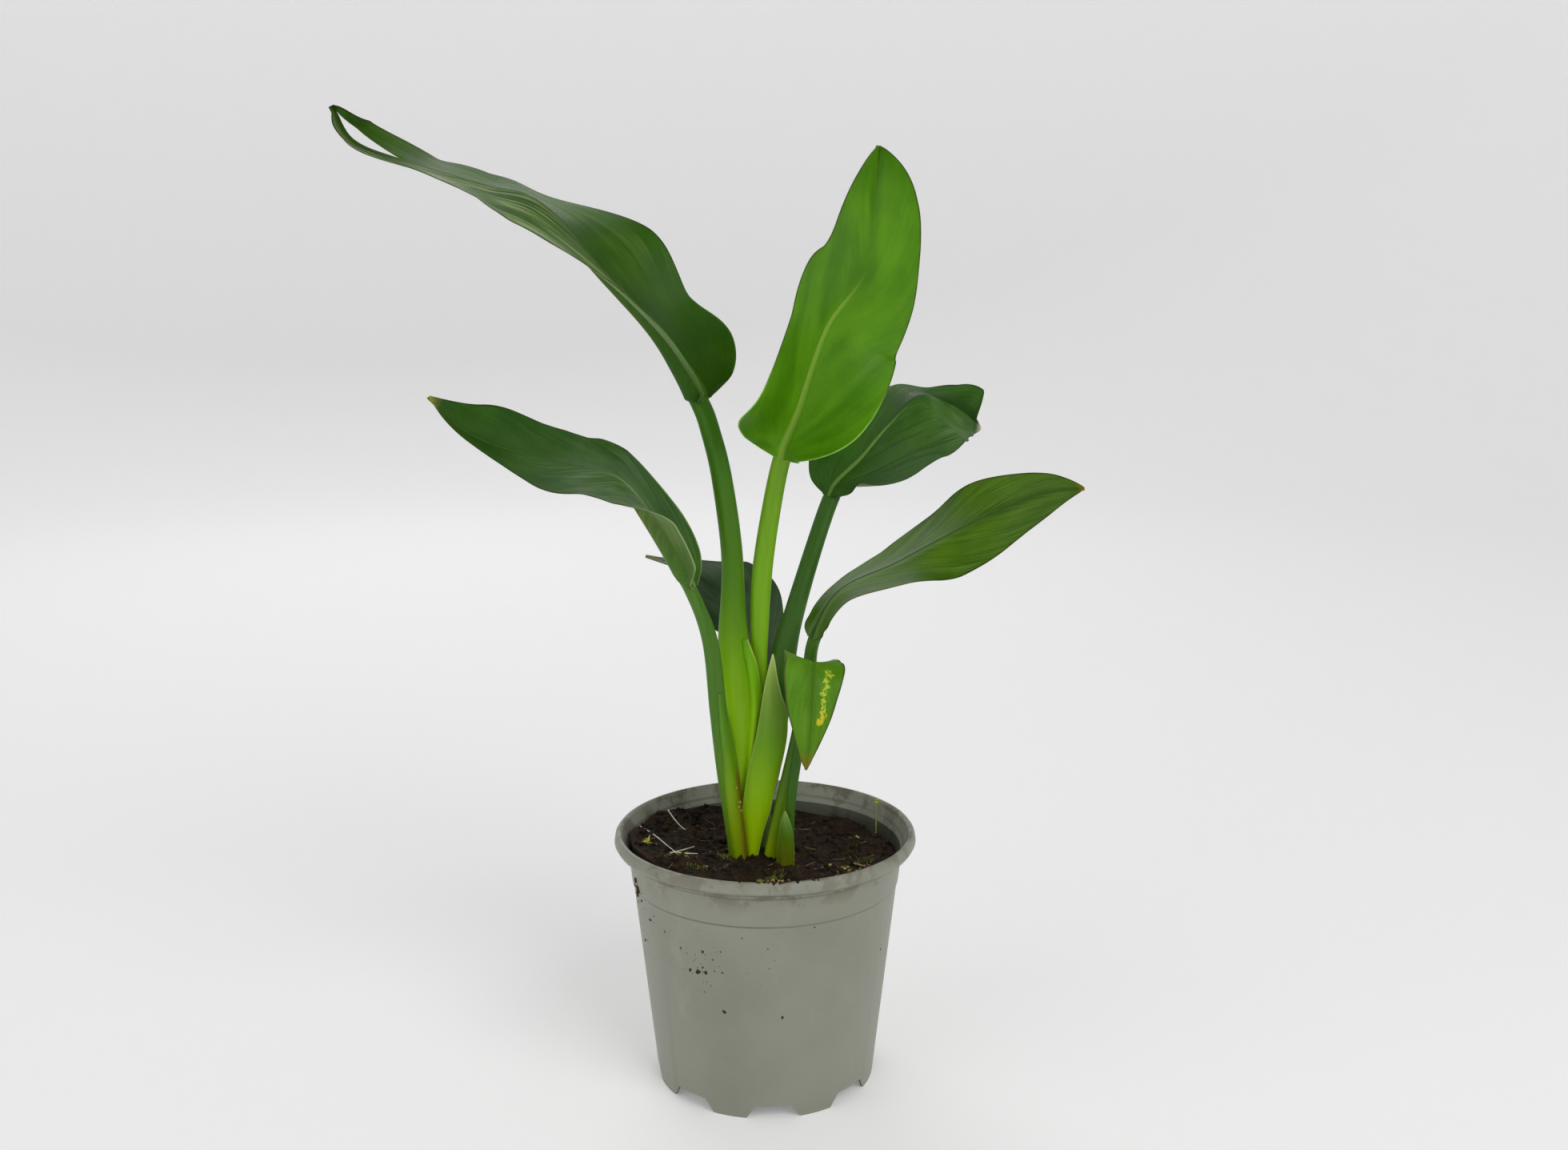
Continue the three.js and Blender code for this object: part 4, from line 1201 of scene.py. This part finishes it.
def makeSpecks():
    placements = []
    for angle, z, size in litter["specks"]:
        placements.append(speckAt(angle, z, size * 0.75, 0.45))
        for beside in range(litter["specksBeside"]):
            spot = spotNear(angle, z, 3, 2.4)
            placements.append(speckAt(*spot, size * dice.uniform(0.12, 0.35), 0.5))
    for fine in range(litter["fineSpecks"]):
        spot = dice.uniform(*litter["fineSides"]), mixed(*litter["fineHeights"], dice.random() ** 0.7)
        placements.append(speckAt(*spot, dice.uniform(0.1, 0.3), 0.5))
    scatterPiece("clingingSpecks", lumps(4, 3, 5.3, 2), placements, peatFinish("driedPeat", 14))


# Dry pale grains, some caught on the seam of a sheath
def makeGrains():
    placements = [sizedAt((x, y, z), randomTurn(), size, size, size) for x, y, z, size in litter["grains"]]
    for x, y, count in litter["spilledGrains"]:
        for index in range(count):
            spot = spotNear(x, y, 1.8, 1.4)
            size = dice.uniform(*litter["grainSize"])
            sizes = [size * dice.uniform(0.6, 1.4) for axis in range(3)]
            placements.append(sizedAt(onPeat(*spot, size * 0.5), randomTurn(), *sizes))
    finish = plainFinish("dryGrain", (150, 118, 54), (206, 178, 104), 0.7, 500.0)
    scatterPiece("paleGrains", lumps(3, 1, 4.7, 1), placements, finish)


def makeMoss():
    bpy.ops.mesh.primitive_cone_add(vertices=4, radius1=0.35, radius2=0.05, depth=2)
    blade = namedPiece("mossBlade")
    blade.data.transform(Matrix.Translation((0, 0, 1)))
    placements = []
    for x, y, count in litter["moss"]:
        for index in range(count):
            spot = spotNear(x, y, 2.2, 1.6)
            if spot.length > litter["reach"]:
                continue
            lean = turnedBy(dice.uniform(0, 6.3), dice.uniform(0, 1.2))
            size = dice.uniform(*litter["mossSize"])
            placements.append(sizedAt(onPeat(*spot, -0.1), lean, size * 0.8, size * 0.8, size))
    finish = plainFinish("mossGreen", (74, 84, 20), (140, 150, 48), 0.7, 200.0)
    scatterPiece("moss", [blade], placements, finish, smooth=False)


def makeSeedlings():
    stems, buds = [], []
    for seedling in litter["seedlings"]:
        foot, head = onPeat(*seedling["foot"], -1), Vector(seedling["head"])
        bend = Vector((*seedling["lean"], 0))
        points = [foot, foot.lerp(head, 0.35) - bend * 0.3, foot.lerp(head, 0.7) + bend * 0.15, head]
        stems.append(addWire(points, *litter["stemForm"]))
        for bud in range(litter["buds"]):
            spot = head + Vector([dice.gauss(0, 0.55) for axis in range(3)])
            size = dice.uniform(*litter["budSize"])
            buds.append(sizedAt(spot, randomTurn(), size, size, size * 1.5))
    yellow = plainFinish("weedYellow", (150, 160, 20), (214, 216, 60))
    scatterPiece("weedHeads", lumps(1, 2, 0, 2), buds, yellow)
    keepWires("weedStems", stems, plainFinish("weedGreen", (120, 140, 50), (160, 176, 80)))


makeStraws()
makeRoots()
makeSpecks()
makeGrains()
makeMoss()
makeSeedlings()
print("litter made")


# Studio: a round pale floor that curves up, and soft lights. Metres.

studio = {"flat": 1.6, "bend": 0.9, "steps": 10, "wall": 0.6, "world": 0.25, "glow": 0.2, "aim": (0, 0, 0.18)}
lights = {
    "key": {"place": (0.9, -1.2, 1.35), "size": 1.1, "power": 13.5},
    "fill": {"place": (-1.3, -0.9, 0.8), "size": 1.4, "power": 4.4},
    "back": {"place": (-0.4, 1.3, 1.2), "size": 1.2, "power": 6},
}


def addFloor():
    bpy.ops.mesh.primitive_circle_add(vertices=96, radius=studio["flat"], fill_type="NGON")
    floor = namedPiece("studioFloor")
    editMode(True)
    selectMesh()
    bpy.ops.mesh.region_to_loop()
    radius, height = studio["flat"], 0
    for step in range(1, studio["steps"] + 2):
        turn = min(step / studio["steps"], 1) * math.pi / 2
        newRadius = studio["flat"] + studio["bend"] * math.sin(turn)
        newHeight = studio["bend"] * (1 - math.cos(turn)) + (studio["wall"] if step > studio["steps"] else 0)
        extrudeBy(0, 0, newHeight - height)
        bpy.ops.transform.resize(value=(newRadius / radius, newRadius / radius, 1), center_override=(0, 0, 0))
        radius, height = newRadius, newHeight
    turnOutwards()
    bpy.ops.mesh.flip_normals()
    editMode(False)
    smoothShade(floor, 40)
    material = newMaterial("paleFloor")
    setShader(material, {"Base Color": (0.86, 0.86, 0.86, 1), "Roughness": 0.8,
                         "Emission Color": (1, 1, 1, 1), "Emission Strength": studio["glow"]})
    floor.data.materials.append(material)


def addLights():
    world = bpy.data.worlds.new("studioWorld")
    bpy.context.scene.world = world
    world.use_nodes = True
    setInputs(world.node_tree.nodes["Background"], {"Color": (1, 1, 1, 1), "Strength": studio["world"]})
    for name, light in lights.items():
        place = Vector(light["place"])
        turn = (Vector(studio["aim"]) - place).to_track_quat("-Z", "Y").to_euler()
        bpy.ops.object.light_add(type="AREA", location=place, rotation=turn)
        lamp = bpy.context.object
        lamp.name = name + "Light"
        lamp.data.size = light["size"]
        lamp.data.energy = light["power"]
    bpy.context.scene.view_settings.view_transform = "Standard"


addFloor()
addLights()
print("studio set")
